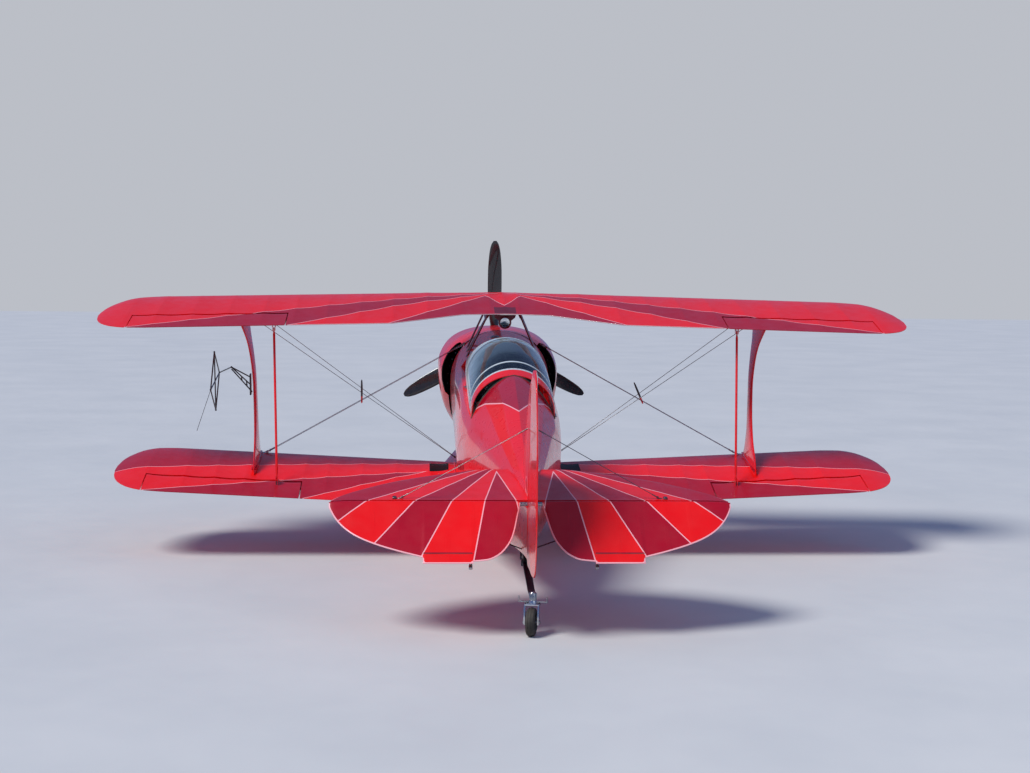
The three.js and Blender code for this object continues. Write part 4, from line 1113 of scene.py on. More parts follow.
def finShape():
    shares = [0, 0.004, 0.012, 0.03, 0.07, 0.14, 0.24, 0.4, 0.6, 0.8, 0.93, 1]
    rings = []
    for z in [*steps(120, 830, 26), 848, 866, 884, 900, 912, 920, 925]:
        _, front, thick = rowAt(finRows, max(z, 150))
        front += max(0, 150 - z) * 1.2
        depth = front - tail["sternY"]
        section = fixedSection(shares, lambda c: rowAt(sectionRows, c)[1] * thick / 2)
        rings.append([(x, front - c * depth, z) for c, x in section])
    return loft(rings)


def rudderShape():
    rings = []
    places = [-212, -206, -198, -190, -175, -158, -140, -115, -90, *steps(-60, 790, 34),
              815, 840, 865, 890, 910, 930, 950, 962, 972, 978]
    shares = [0.06, 0.2, 0.4, 0.6, 0.8, 0.92, 0.98, 1]
    hinge = tail["rudderHingeY"]
    for z in places:
        _, back, nose, edge = rowAt(rudderRows, z)
        rear = [(c * (back - hinge), nose + (edge * 0.8 - nose) * c) for c in shares]
        rear[-1] = (back - hinge, edge * 0.45)
        rings.append([(x, hinge + y, z) for y, x in hingedSection(nose, 10, rear)])
    return loft(rings)


addPiece("fin_skin", [(finShape(), "body")], "red_paint", stands=["fin"], sharp=50)
lugs = {"heights": (0, 450, 800), "slot": 3.4, "slotRadius": 15}
slots = []
hingeY = tail["rudderHingeY"]
for z in lugs["heights"]:
    low, high = z - lugs["slot"], z + lugs["slot"]
    slots.append(box((-60, hingeY, low), (60, hingeY + 60, high)))
    slots.append(rod((0, hingeY, low), (0, hingeY, high), lugs["slotRadius"], 24))
addPiece("rudder_skin", [(carved(rudderShape(), *slots), "enamel")], "red_paint", body="rudder_unit",
         stands=["rudder"], sharp=50)
print("tail made")


# Engine: crankcase, six finned cylinders, sump and the two exhaust pipes
engine = {
    "case": ((-118, -930, -112), (118, -262, 104)), "sump": ((-150, -880, -238), (150, -330, -100)),
    "cylinders": (-400, -590, -780), "barrel": 62, "fin": 84, "head": 74, "headFin": 92, "nose": -262,
    "pipe": {"radius": 30, "wall": 2.5,
             "path": [(150, -860, -225), (150, -860, -420), (150, -863, -540), (150, -893, -615),
                      (150, -930, -690)]},
}
alongY = ((0, 0, 0), (0, 1, 0))


def cylinderShape(y):
    profile = [(0, 112), (engine["barrel"], 112)]
    cooled = [(range(122, 226, 13), "barrel", "fin", 5), (range(232, 296, 11), "head", "headFin", 6)]
    for places, low, high, thick in cooled:
        for x in places:
            profile += [(engine[low], x), (engine[high], x + 1), (engine[high], x + thick - 1),
                        (engine[low], x + thick)]
    profile += [(70, 300), (0, 300)]
    head = softBox((296, y - 52, -40), (322, y + 52, 40), 9, axis=0)
    plugs = [rod((262, y + side * 40, 60), (262, y + side * 40, 108), 9, 10) for side in (1, -1)]
    return joined(turned(profile, (0, y, 0), (1, 0, 0), 28), head, *plugs)


def pipeShape(path, radius, wall):
    rings = tubeRings(smoothPath(path, 5), radius, 24)
    middle = sum(rings[-1], Vector()) / len(rings[-1])
    back = (Vector(path[-2]) - Vector(path[-1])).normalized() * 70
    inner = [middle + (p - middle) * (1 - wall / radius) for p in rings[-1]]
    return loft([*rings, inner, [p + back for p in inner]])


def engineParts():
    nose = turned([(0, -10), (112, -10), (112, 10), (84, 34), (58, 48), (50, 60), (50, 212), (0, 212)],
                  (0, engine["nose"], 0), (0, 1, 0), 36)
    grey = [softBox(*engine["case"], 30), softBox(*engine["sump"], 28), nose]
    grey.append(bothSides(softBox((25, -985, 20), (115, -925, 110), 12)))
    pipe = engine["pipe"]
    alloy, hot = [], [pipeShape(pipe["path"], pipe["radius"], pipe["wall"])]
    for y in engine["cylinders"]:
        intake = [(205, y - 40, -62), (190, y - 40, -130), (120, y - 20, -175)]
        exhaust = [(215, y + 40, -62), (200, y + 30, -150), (165, (y - 860) / 2, -215), (150, -860, -260)]
        alloy += [cylinderShape(y), tube(smoothPath(intake, 4), 21, 14)]
        hot.append(tube(smoothPath(exhaust, 4), 22, 14))
    baffles = [box((-330, y - 1, 62), (330, y + 1, 118)) for y in (-300, -880)]
    return [
        (joined(*grey), "engineGrey"), (bothSides(joined(*alloy)), "alloy"),
        (bothSides(joined(*hot)), "exhaustSteel"), (joined(*baffles), "matBlack"),
    ]


addPiece("engine_block", engineParts(), "engine_metal", stands=["engine"], sharp=30)

# Propeller and spinner: columns distance from the hub, chord, thickness, twist
propeller = {
    "rows": [(60, 78, 78, 60), (150, 84, 70, 52), (240, 118, 40, 40), (420, 140, 26, 29),
             (640, 132, 17, 22), (810, 104, 12, 18), (890, 66, 9, 17), (920, 26, 6, 17)],
    "plane": 10, "turn": -0.6, "blades": 3, "sides": 24,
    "spinner": [(-44, 164), (-20, 168), (40, 158), (110, 130), (170, 94), (215, 54), (240, 18),
                (243, 0.01)],
    "wall": 3, "rootHole": 46, "screws": 15,
}


def bladeShape():
    rings = []
    for r in [*steps(60, 860, 40), 870, 880, 890, 898, 906, 912, 917, 920]:
        _, chord, thick, twist = rowAt(propeller["rows"], r)
        outboard = ease((r - 150) / 150)
        cosTwist, sinTwist = math.cos(math.radians(twist)), math.sin(math.radians(twist))
        ring = []
        for c, s in circle(propeller["sides"]):
            along, across = chord / 2 * c, thick / 2 * s * (1 - 0.3 * outboard * c)
            ring.append((along * cosTwist - across * sinTwist,
                         along * sinTwist + across * cosTwist + propeller["plane"], r))
        rings.append(ring)
    return loft(rings)


def onEachBlade(shape):
    turns = [360 * i / propeller["blades"] + propeller["turn"] for i in range(propeller["blades"])]
    return [moved(shape, Matrix.Rotation(math.radians(turn), 4, "Y")) for turn in turns]


def spinnerShape():
    rows, wall, plane = propeller["spinner"], propeller["wall"], propeller["plane"]
    places = [-44, -40, -20, *steps(-10, 200, 24), 215, 225, 232, 237, 240, 242]
    outer = [(rowAt(rows, y)[1], y) for y in places]
    inner = [(r - wall, y - wall if y > -40 else y) for r, y in reversed(outer[:-5])]
    shell = turned([(0, 228), *inner, *outer, (0, 243)], *alongY, 64)
    return carved(shell, *onEachBlade(rod((0, plane, 60), (0, plane, 260), propeller["rootHole"], 32)))


def spinnerScrews():
    half = 180 / propeller["screws"]
    around = arc(half, 360 + half, propeller["screws"])[:-1]
    return studs([(Vector((168 * c, -24, 168 * s)), Vector((c, 0, s))) for c, s in around], 5, 2)


hub = turned([(0, -45), (72, -45), (72, 70), (52, 84), (0, 84)], *alongY, 40)
ferrule = turned([(0, 40), (44, 40), (44, 118), (40, 124), (0, 124)], (0, propeller["plane"], 0),
                 (0, 0, 1), 32)
addPiece("propeller_blades", [
    (joined(*onEachBlade(bladeShape())), "blade"), (joined(hub, *onEachBlade(ferrule)), "alloy"),
], "black_paint", body="propeller_unit", stands=["propeller"], sharp=50)
addPiece("spinner_shell", [(spinnerShape(), "enamel")], "red_paint", body="propeller_unit",
         stands=["spinner"], sharp=40)
backPlate = turned([(74, -46), (162, -46), (166, -44), (166, -38), (74, -38)], *alongY, 64)
addPiece("spinner_back_plate", [(backPlate, "alloy"), (spinnerScrews(), "steel")], "aluminium",
         body="propeller_unit")
# the block behind the engine that is seen through the cheek outlets, painted mat black: painted shade that
# keeps the outlets dark
accessories = softBox((-185, -1091, -205), (185, -945, 205), 30, axis=1)
addPiece("engine_accessories_shade_block", [(accessories, "matBlack")], "engine_metal", sharp=40)
print("engine and propeller made")

# Struts between the wings: columns share of the height, front, back
iStrut = {
    "foot": (1872, -470.2), "top": (1950, 617), "thickness": 30, "flare": 40, "bow": 76, "bowFrom": 0.5,
    "rows": [(0, -1830, -2420), (0.1, -1890, -2310), (0.2, -1890, -2145), (0.36, -1830, -1985),
             (0.62, -1690, -1840), (0.8, -1560, -1790), (0.9, -1440, -1815), (1, -1370, -1850)],
}


def strutAt(share):
    # straight, then bowed outwards under the upper wing
    (x0, z0), (x1, z1) = iStrut["foot"], iStrut["top"]
    bow = max(0, (share - iStrut["bowFrom"]) / (1 - iStrut["bowFrom"]))
    return x0 + share * (x1 - x0) + iStrut["bow"] * bow * bow, z0 + share * (z1 - z0)


def ovalRing(x, z, front, back, thick, fuller=0.0):
    # fuller ahead of the middle than behind it
    return [(x + thick / 2 * s * (1 + fuller * c), (front + back) / 2 + (front - back) / 2 * c, z)
            for c, s in circle(28)]


def iStrutShape():
    rings = []
    for share in steps(0, 1, 44):
        _, front, back = rowAt(iStrut["rows"], share)
        thick = iStrut["thickness"] + iStrut["flare"] * ease((share - 0.78) / 0.24) ** 2
        rings.append(ovalRing(*strutAt(share), front, back, thick, 0.18))
    return loft(rings)


def strutCuffs():
    # fittings where the strut meets the wings
    shapes = []
    for share, y0, y1 in ((0.965, -1400, -1835), (0.045, -1880, -2350)):
        x, z = strutAt(share)
        half = 19 if share < 0.5 else 29
        shapes.append(softBox((x - half, y1, z - 7), (x + half, y0, z + 7), 6, axis=1))
        spots = [(Vector((x + side * half, y, z)), Vector((side, 0, 0)))
                 for side in (1, -1) for y in steps(y0 - 40, y1 + 40, 3)]
        shapes.append(studs(spots, 6, 4))
    return joined(*shapes)


slave = {
    "low": (1690, -2550, -499.4), "high": (1745, -1985, 637), "fromPin": 66, "toEars": 80, "tip": 5,
    "radius": 9, "plate": 3, "upperGap": 2.5, "lowerGap": 1.3,
    "ear": [(-12, -4), (66, -4), (62, 22), (54, 52), (46, 74), (38, 80), (18, 80), (10, 74), (-2, 56),
            (-10, 24)],
}


def slaveShape():
    low, high = Vector(slave["low"]), Vector(slave["high"])
    way = (high - low).normalized()
    length = (high - low).length - 2 * slave["fromPin"]
    tip, r = slave["tip"], slave["radius"]
    half = [(0, -tip), (tip * 0.8, -3), (tip, 0), (tip, 30), (6.5, 32), (6.5, 38), (r, 46), (r, length / 2)]
    profile = half + [(r0, length - h) for r0, h in reversed(half)]
    return turned(profile, low + way * slave["fromPin"], way, 20)


def earShape(upper):
    pin = Vector(slave["high"] if upper else slave["low"])
    way = (Vector(slave["high"]) - Vector(slave["low"])).normalized()
    side = -1 if upper else 1
    x = (pin + way * slave["toEars"] * side).x
    inner = slave["tip"] + (slave["upperGap"] if upper else slave["lowerGap"])
    outer = inner + slave["plate"]
    outline = [(pin.y + side * y, pin.z + side * z) for y, z in slave["ear"]]
    plates = joined(sidePlate(outline, x + inner, x + outer), sidePlate(outline, x - outer, x - inner))
    spots = [(Vector((x + s * outer, pin.y + side * y, pin.z + side * 46)), Vector((s, 0, 0)))
             for s in (1, -1) for y in (12, 44)]
    return plates, studs(spots, 5, 3)


cabane = [  # the feet and tops of the bars
    ((345, -1100, 60), (118, -1190, 600)), ((345, -1280, 60), (118, -1500, 600)),
    ((345, -1100, 60), (118, -1500, 600)),
]


def cabaneShape():
    along = {"chordAlong": (0, 1, 0)}
    shapes, joints = [], []
    for foot, top in cabane:
        foot, top = Vector(foot), Vector(top)
        shapes.append(rod(foot, top, 15, 18, flat=0.5, **along))
        for start, end in ((0.02, 0.1), (0.93, 1)):
            shapes.append(rod(foot.lerp(top, start), foot.lerp(top, end), 17, 16, flat=0.75, **along))
        joints.append(foot.lerp(top, 0.895))
    return joined(*shapes, rod(joints[0], joints[1], 9, 14))


addPair("i_strut_fairing_", [(iStrutShape(), "enamel"), (strutCuffs(), "crimsonEnamel")], "red_paint",
        stands=["i_strut_"], sharp=45)
addPair("slave_rod_", [(slaveShape(), "enamel")], "red_paint", body="link_", stands=["slave_strut_"],
        sharp=40)
for name, upper, body in (("upper", True, "top"), ("lower", False, "low")):
    plates, bolts = earShape(upper)
    addPair(name + "_aileron_ears_", [(plates, "enamel"), (bolts, "steel")], "steel",
            body=f"aileron_{body}_", bevel=0.6)
addPair("cabane_struts_", [(cabaneShape(), "darkRed")], "red_paint", stands=["cabane_"], sharp=45)

# Streamlined wires with screwed ends and forks
wires = {
    "flyingFoot": (335, -1800, -520), "flyingTops": [(1905, -1500, 590), (1905, -1760, 590)],
    "landingLow": (1850, -1830, -455), "landingHigh": (300, -1400, 330), "apart": 14,
    "wide": 3.8, "flat": 0.5, "shank": 2.6, "spindleAt": 0.48, "tailEnd": (800, -4815, 160),
    "tailUpper": (0, -4780, 610), "tailLower": (0, -4640, -215),
    "fork": [(0, 0), (5, 0), (7.5, 4), (7.5, 30), (5.5, 38), (0, 38)],
    "nut": [(0, 0), (6.5, 0), (6.5, 9), (0, 9)],
}


def wireShape(start, end, wide=wires["wide"], forkStart=True):
    start, end = Vector(start), Vector(end)
    way = (end - start).normalized()
    blade = tube([start + way * 40, start + way * 95, end - way * 95, end - way * 40],
                 [wires["shank"], wide, wide, wires["shank"]], 12, chordAlong=(0, 1, 0), flat=wires["flat"])
    ends = []
    for fork, point, inward in ((forkStart, start, way), (True, end, -way)):
        ends.append(rod(point + inward * 26, point + inward * 92, 3.6, 12))
        if fork:
            ends.append(turned(wires["fork"], point, inward, 16))
            ends.append(turned(wires["nut"], point + inward * 48, inward, 6))
    return joined(blade, *ends)


def spindleShapes(centre, lean):
    # a slim spacer that stands on the wires, black above and red at its foot
    turn = Matrix.Translation(centre) @ Matrix.Rotation(math.radians(lean), 4, "Y")
    foot = lathe([(0, -96), (4, -94), (6.5, -84), (7.5, -50), (7.5, -38), (0, -38)], 20)
    body = lathe([(0, -38), (7.6, -38), (8, 0), (7.6, 50), (6, 80), (4, 93), (0, 96)], 20)
    return [(moved(foot, turn), "enamel"), (moved(body, turn), "spindle")]


flying = [wireShape(wires["flyingFoot"], top) for top in wires["flyingTops"]]
flying.append(softBox((312, -1830, -545), (352, -1770, -505), 8))
low, high = Vector(wires["landingLow"]), Vector(wires["landingHigh"])
offsets = [Vector((0, side * wires["apart"], 0)) for side in (-1, 1)]
landing = [wireShape(low + off, high + off) for off in offsets]
landing.append(softBox((1836, -1856, -478), (1872, -1804, -448), 8))
addPair("flying_wire_pair_", [(joined(*flying), "wire")], "steel", stands=["flying_wires_"], sharp=40)
addPair("landing_wire_pair_", [(joined(*landing), "steel")], "steel", stands=["landing_wires_"], sharp=40)
crossing = low.lerp(high, wires["spindleAt"])
addPiece("wire_spindle_R", spindleShapes(crossing + Vector((-40, 0, 68)), -24), "black_paint", sharp=50)
addPiece("wire_spindle_L", toPort(spindleShapes(crossing + Vector((0, 0, 68)), 0)), "black_paint", sharp=50)
# the lower braces are painted black for their dark look, which is shade under the tail: painted shade
braces = [("upper", wires["tailUpper"], 4, "wire"), ("lower", wires["tailLower"], 7, "black")]
for name, start, wide, finish in braces:
    addPair(f"tail_brace_{name}_", [(wireShape(start, wires["tailEnd"], wide, forkStart=False), finish)],
            "steel", stands=[f"tail_wire_{name}_"], sharp=40)
addPair("tail_brace_lug_", [(softBox((788, -4830, 174), (812, -4800, 188), 6), "wire")], "steel")

# Sighting frame beside the port strut: a diamond of rods with its cross, arms and strap
sight = {
    "plane": -2200, "y": -1915, "z": 140, "up": 226, "along": 266, "apex": (-2075, -1915, 250), "rod": 5,
    "clamps": (35, -30, -80),
}


def sightShape():
    x, y, z = sight["plane"], sight["y"], sight["z"]
    top, low = (x, y, z + sight["up"]), (x, y, z - sight["up"])
    aft, fore = (x, y - sight["along"], z), (x, y + sight["along"], z)
    clamp = []
    for height in (z + up for up in sight["clamps"]):
        share = (height - iStrut["foot"][1]) / (iStrut["top"][1] - iStrut["foot"][1])
        clamp.append((-strutAt(share)[0] - 12, y - 10, height))
    apex = sight["apex"]
    nearApex = Vector(apex) - Vector((0, 0, 14))
    rungs = [(Vector(apex).lerp(Vector(clamp[1]), t), nearApex.lerp(Vector(clamp[2]), t))
             for t in (0.5, 0.75)]
    pairs = [(top, aft), (aft, low), (low, fore), (fore, top), (top, low), (aft, fore), (fore, apex),
             (apex, clamp[0]), (apex, clamp[1]), (nearApex, clamp[2]), *rungs]
    rods = [rod(a, b, sight["rod"], 10) for a, b in pairs]
    knots = [turned([(0, -8), (5, -6), (8, 0), (5, 6), (0, 8)], p, (0, 0, 1), 12)
             for p in (top, low, aft, fore, apex)]
    strap = softBox((clamp[0][0] - 6, y - 34, z - 100), (clamp[0][0] + 6, y + 14, z + 60), 5)
    trailing = rod(aft, (x - 112, aft[1] + 20, z - 320), 1.8, 8)
    return joined(*rods, *knots, strap, trailing)


addPiece("sighting_frame", [(sightShape(), "black")], "black_paint", stands=["sight_frame"], sharp=40)

# Round mirror under the middle of the upper wing
mirror = {
    "place": (0, -1650, 556),
    "dish": [(0, 38), (18, 36), (34, 28), (46, 14), (50, -2), (50, -10), (46, -12), (40, -6), (0, -6)],
    "glass": [(0, -11), (20, -9.5), (36, -6.4), (36, -5.9), (0, -5.9)],
    "bracket": [(-84, 612), (84, 612), (78, 592), (46, 566), (-46, 566), (-78, 592)],
}
housing = turned(mirror["dish"], mirror["place"], (0, 1, 0), 40)
addPiece("mirror_housing", [
    (joined(housing, crossPlate(mirror["bracket"], -1648, -1636)), "darkRed"),
    (turned(mirror["glass"], mirror["place"], (0, 1, 0), 40), "mirrorGlass"),
], "mirror", stands=["mirror"], sharp=40)


def edgeTape():
    # pale tape along the upper wing's trailing edge between the ailerons
    points = []
    for x in [0, *steps(330, 860, 8), *steps(860, 1630, 6)[1:]]:
        _, back, z, _ = wingEdges(upperWing, x)
        points.append((x, back + 1.5, z + 0.5))
    port = [(-x, y, z) for x, y, z in reversed(points[1:])]
    return tube(port + points, 2.3, 8)


addPiece("upper_wing_edge_tape", [(edgeTape(), "paleStrip")], "red_fabric", sharp=60)
print("struts and wires made")

# Windshield and canopy: columns as the body's
canopy = {
    "rows": [(-1420.3, 285, 322, 190, 60, 2, 8), (-1640, 300, 418, 200, 60, 2, 8),
             (-1840, 303, 480, 205, 60, 2, 8), (-2030, 304, 516, 210, 60, 2, 8),
             (-2250, 304, 536, 210, 60, 2, 8), (-2500, 303, 532, 205, 60, 2, 8),
             (-2750, 299, 500, 200, 60, 2, 8), (-2949.7, 292, 455, 190, 60, 2, 8)],
    "low": 143.5, "rail": 20, "glass": 5, "front": -2030, "bowBack": -2056, "glassBack": -2850,
    "back": -2944, "gap": 0.4, "over": 44,
}


def canopyArc(y, grow, low):
    # over the cockpit from the starboard side to the port one
    row = rowAt(canopy["rows"], y)
    _, half, _, waist, bottom, _, lower = row
    side = []
    for z in steps(low, waist, 4)[:-1]:
        s = max(0, (waist - z) / (waist - bottom)) ** (lower / 2)
        side.append(((half + grow) * (1 - s * s) ** (1 / lower), y, z))
    over = [bodyPoint(row, turn, grow) for turn in steps(0, math.pi, canopy["over"])]
    return side + over + [(-x, y, z) for x, y, z in reversed(side)]


def archShell(places, outerGrow, innerGrow, low):
    loops = [canopyArc(y, outerGrow, low) + list(reversed(canopyArc(y, innerGrow, low))) for y in places]
    verts, faces = loft(loops, False, False)
    count = len(loops[0])
    last = (len(loops) - 1) * count
    for i in range(count // 2 - 1):
        a, b, c, d = i, i + 1, count - 2 - i, count - 1 - i
        faces += [(d, c, b, a), (last + a, last + b, last + c, last + d)]
    return verts, faces


def archStuds(y, grow, count, low, radius, height):
    return studs(skinSpots(canopy["rows"], y, low, 180 - low, count, grow), radius, height)


def railShape(y0, y1, low, high, thick, grow=0):
    loops = []
    for y in steps(y0, y1, 16):
        half = rowAt(canopy["rows"], y)[1] + grow
        loops.append([(half, y, low), (half, y, high), (half - thick, y, high), (half - thick, y, low)])
    return bothSides(loft(loops))


low, high = canopy["low"], canopy["low"] + canopy["rail"]
bowBack, glassBack = canopy["bowBack"], canopy["glassBack"]
windshield = archShell(steps(-1420.3, -2023, 18), 0, -canopy["glass"], low)
addPiece("windshield_glass", [(windshield, "glass")], "glass", stands=["windshield"], sharp=60)
addPiece("windshield_frame", [
    (railShape(-1425, -2022, low, low + 24, 3, 3), "enamel"),
    (archShell(steps(-1421, -1448, 2), 3, 0.5, low), "enamel"),
    (archStuds(-1436, 3, 17, 8, 3, 1.2), "steel"),
], "red_paint", sharp=40)
bubble = archShell(steps(bowBack - canopy["gap"], glassBack, 26), 0, -canopy["glass"], high + canopy["gap"])
addPiece("canopy_glass_bubble", [(bubble, "glass")], "glass", body="canopy", stands=["canopy_glass"],
         sharp=60)
addPiece("canopy_frame_shell", [
    (archShell(steps(canopy["front"], bowBack, 3), 0.5, -14, low), "bow"),
    (railShape(bowBack, glassBack, low, high, 18), "enamel"),
    (archShell(steps(glassBack - canopy["gap"], canopy["back"], 6), 1, -5, low), "enamel"),
    # pale strips over the bubble's rear edge, sealing strips whose pale colour also stands in for the
    # reflection along the acrylic's edge: painted reflection
    (archShell(steps(glassBack + 7, glassBack - 10, 2), 3, 0.6, high), "silverSheen"),
    (archShell(steps(glassBack + 128, glassBack + 112, 2), 3, 0.6, high), "silverSheen"),
    (archStuds(glassBack + 1, 2.6, 30, 6, 3.2, 1.6), "steel"),
    (archStuds(canopy["back"] + 14, 1, 22, 6, 3, 1.2), "steel"),
], "red_paint", body="canopy", stands=["canopy_frame"], sharp=40)
hinges = joined(*[rod((308, y - 40, 140), (308, y + 40, 140), 6, 14) for y in (-2150, -2490, -2830)])
addPiece("canopy_hinge_tubes", [(hinges, "steel")], "steel")
latch = [softBox((-312, -2130, 150), (-300, -2080, 162), 4)]
latch.append(rod((-310, -2105, 156), (-326, -2105, 156), 5, 12))
addPiece("canopy_latch", [(joined(*latch), "steel")], "steel", body="canopy", bevel=0.5)
sealPoints = deckArc(rowAt(fuselage["rows"], -2950), steps(0, 1, 40), 148)
deckSeal = tube([(x, -2953, z - 1) for x, _, z in sealPoints], 6, 10)
addPiece("deck_seal", [(deckSeal, "seal")], "rubber", sharp=60)
print("canopy made")


# Cockpit: lining, floor, panels with plain dials, seats, harness and controls
cockpit = {
    "panels": {"front": (-1524, 300), "rear": (-2235, 385)},
    "half": 261.5, "thick": 22, "low": -150, "arch": 150,
    "seats": {"front": -2030, "rear": -2720}, "sticks": {"front": -1635, "rear": -2325},
    "tubFront": -1502, "tubBack": -2878, "floor": -455, "wall": 261.8, "sill": 142, "lining": 1.4,
    "toggle": [(0, 0), (7, 0), (7, 3), (3, 5), (2.2, 5), (3, 18), (0, 19)],
    "dials": {
        "front": [(0, 222, 40), (-92, 205, 36), (92, 205, 36), (-50, 128, 34), (50, 128, 34),
                  (-150, 130, 28), (150, 130, 28), (-105, 45, 26), (105, 45, 26), (0, 45, 26)],
        "rear": [(0, 300, 42), (-95, 280, 38), (95, 280, 38), (-52, 200, 36), (52, 200, 36),
                 (-155, 190, 30), (155, 190, 30), (-105, 105, 28), (105, 105, 28), (0, 110, 28),
                 (-180, 110, 22), (180, 110, 22)],
    },
}


def panelOutline(top, inset=0.0):
    half, low, arch = cockpit["half"] - inset, cockpit["low"] + inset, cockpit["arch"]
    over = [(half * c, arch + (top - inset - arch) * s) for c, s in arc(0, 180, 36)]
    return [(-half, low), (half, low), *over]


def panelMark(x, z, turn, start, end, width, y):
    # a flat bar on a dial's face, from one distance to another from its centre
    c, s = math.cos(turn), math.sin(turn)
    corners = [(start, -width), (end, -width * 0.6), (end, width * 0.6), (start, width)]
    return crossPlate([(x + c * d - s * w, z + s * d + c * w) for d, w in corners], y - 4.2, y - 3.4)


def dialParts(x, z, radius, y, turn):
    ring = [(radius - 5, 1), (radius + 2, 1), (radius + 2, 5), (radius - 1, 8), (radius - 5, 8)]
    bezel = turned(ring, (x, y, z), (0, -1, 0), 28)
    face = turned([(0, 1), (radius - 5, 1), (radius - 5, 3.2), (0, 3.2)], (x, y, z), (0, -1, 0), 28)
    marks = [panelMark(x, z, 2 * math.pi * k / 12, radius - 11, radius - 7, 0.9, y) for k in range(12)]
    marks.append(panelMark(x, z, turn, -4, radius - 13, 1.2, y))
    return bezel, face, joined(*marks)


for name, (y, top) in cockpit["panels"].items():
    rim = crossPlate(panelOutline(top), y, y + cockpit["thick"])
    board = crossPlate(panelOutline(top, 24), y - 1.5, y)
    dials = [dialParts(x, z, r, y, 0.7 + 1.9 * n) for n, (x, z, r) in enumerate(cockpit["dials"][name])]
    bezels, faces, marks = (joined(*shapes) for shapes in zip(*dials))
    toggles = [turned(cockpit["toggle"], (x, y - 1.5, -20), (0, -1, -0.5), 12)
               for x in range(-180, 181, 40)]
    boxes = joined(softBox((-90, y - 6, -120), (90, y - 1.5, -60), 6, axis=1),
                   softBox((-230, y - 5, -130), (-120, y - 1.5, -50), 6, axis=1))
    addPiece(f"instrument_panel_{name}", [
        (rim, "enamel"), (board, "matBlack"), (bezels, "black"), (faces, "matBlack"),
        (marks, "dialWhite"), (joined(*toggles), "steel"), (boxes, "black"),
    ], "black_paint", stands=[f"panel_{name}"], sharp=40)


def liningShape():
    wall, floor, sill, thick = (cockpit[key] for key in ("wall", "floor", "sill", "lining"))
    front, back = cockpit["tubFront"], cockpit["tubBack"]
    outline = [(-wall, sill), (-wall, floor + 0.2), (wall, floor + 0.2), (wall, sill), (wall - thick, sill),
               (wall - thick, floor + thick), (thick - wall, floor + thick), (thick - wall, sill)]
    ends = [box((-wall, y, floor), (wall, y + 1.2, sill)) for y in (front - 1.2, back)]
    return joined(crossPlate(outline, back, front), *ends)


def trussShape():
    # welded tubes along the walls
    x = cockpit["wall"] - 13
    bars = [((x, -1515, z), (x, -2865, z), 9) for z in (118, -250)]
    posts = [-1540, -1800, -2215, -2480, -2850]
    bars += [((x, y, -450), (x, y, 118), 8) for y in posts]
    bars += [((x, a, -250), (x, b, 118), 7) for a, b in zip(posts, posts[1:])]
    return bothSides(joined(*[rod(a, b, r, 12) for a, b, r in bars]))


def floorShape():
    boards = [softBox((x, y0, -452), (x + 96, y1, -444), 4, axis=1)
              for y0, y1 in ((-1990, -1520), (-2690, -2250)) for x in (-245, -147, 51, 149)]
    return joined(*boards)


addPiece("cockpit_lining", [(liningShape(), "matBlack")], "black_paint")
addPiece("cockpit_truss", [(trussShape(), "engineGrey")], "steel", sharp=50)
addPiece("floor_boards", [(floorShape(), "alloy")], "aluminium", sharp=40)

seat = {"half": 205, "depth": 330, "height": 520, "panLow": -330, "panTop": -300, "lean": 13}


def seatFrame(y):
    lean = Matrix.Rotation(math.radians(seat["lean"]), 4, "X")
    return Matrix.Translation((0, y, seat["panLow"] + 10)) @ lean


def seatBackShape(y):
    # a shell with rolled edges
    half, height, roll = seat["half"], seat["height"], 7
    shell = softBox((-half, -25, 0), (half, 0, height), 62, axis=1)
    lip = [((half - roll) * math.copysign(abs(c) ** 0.5, c), -4,
            height / 2 + (height / 2 - roll) * math.copysign(abs(s) ** 0.42, s))
           for c, s in arc(0, 360, 72)]
    return moved(joined(shell, tube(lip, roll, 10)), seatFrame(y))


def seatShape(y):
    half, depth = seat["half"], seat["depth"]
    pan = softBox((-half, y - 20, seat["panLow"]), (half, y + depth, seat["panTop"]), 34, axis=2)
    low, high = cockpit["floor"] + 1, seat["panLow"] + 10
    rails = [softBox((20 - half, y + start, low), (half - 20, y + start + 40, high), 8, axis=0)
             for start in (20, depth - 50)]
    return joined(pan, seatBackShape(y)), joined(*rails)


cushion = {
    "base": {"wide": 386, "long": 302, "thick": 61, "channels": (-96, -32, 32, 96)},
    "back": {"wide": 386, "long": 445, "thick": 49, "channels": (-96, -32, 32, 96)},
    "start": 0.62, "corner": 42, "voxel": 0.006, "pressure": 4.0, "frames": 20, "cap": 0.022,
    "groove": 6, "grooveWidth": 7, "welt": 3.2, "weltAt": 0.55, "weltPoints": 72,
    "layers": ((0, 14), (0.12, 5), (0.32, 0), (0.62, 0), (0.86, 7), (1, 20)),   # share of the height, inset
}


def cushionStart(size):
    # a slab thinner than the finished cushion, that the air then fills out
    half, length = size["wide"] / 2 - 6, size["long"] / 2 - 6
    thick = size["thick"] * cushion["start"]
    rings = []
    for height, inset in cushion["layers"]:
        outline = roundedOutline(half - inset, length - inset, cushion["corner"], 8)
        rings.append([(x, y, 1 + height * thick) for x, y in outline])
    return loft(rings)


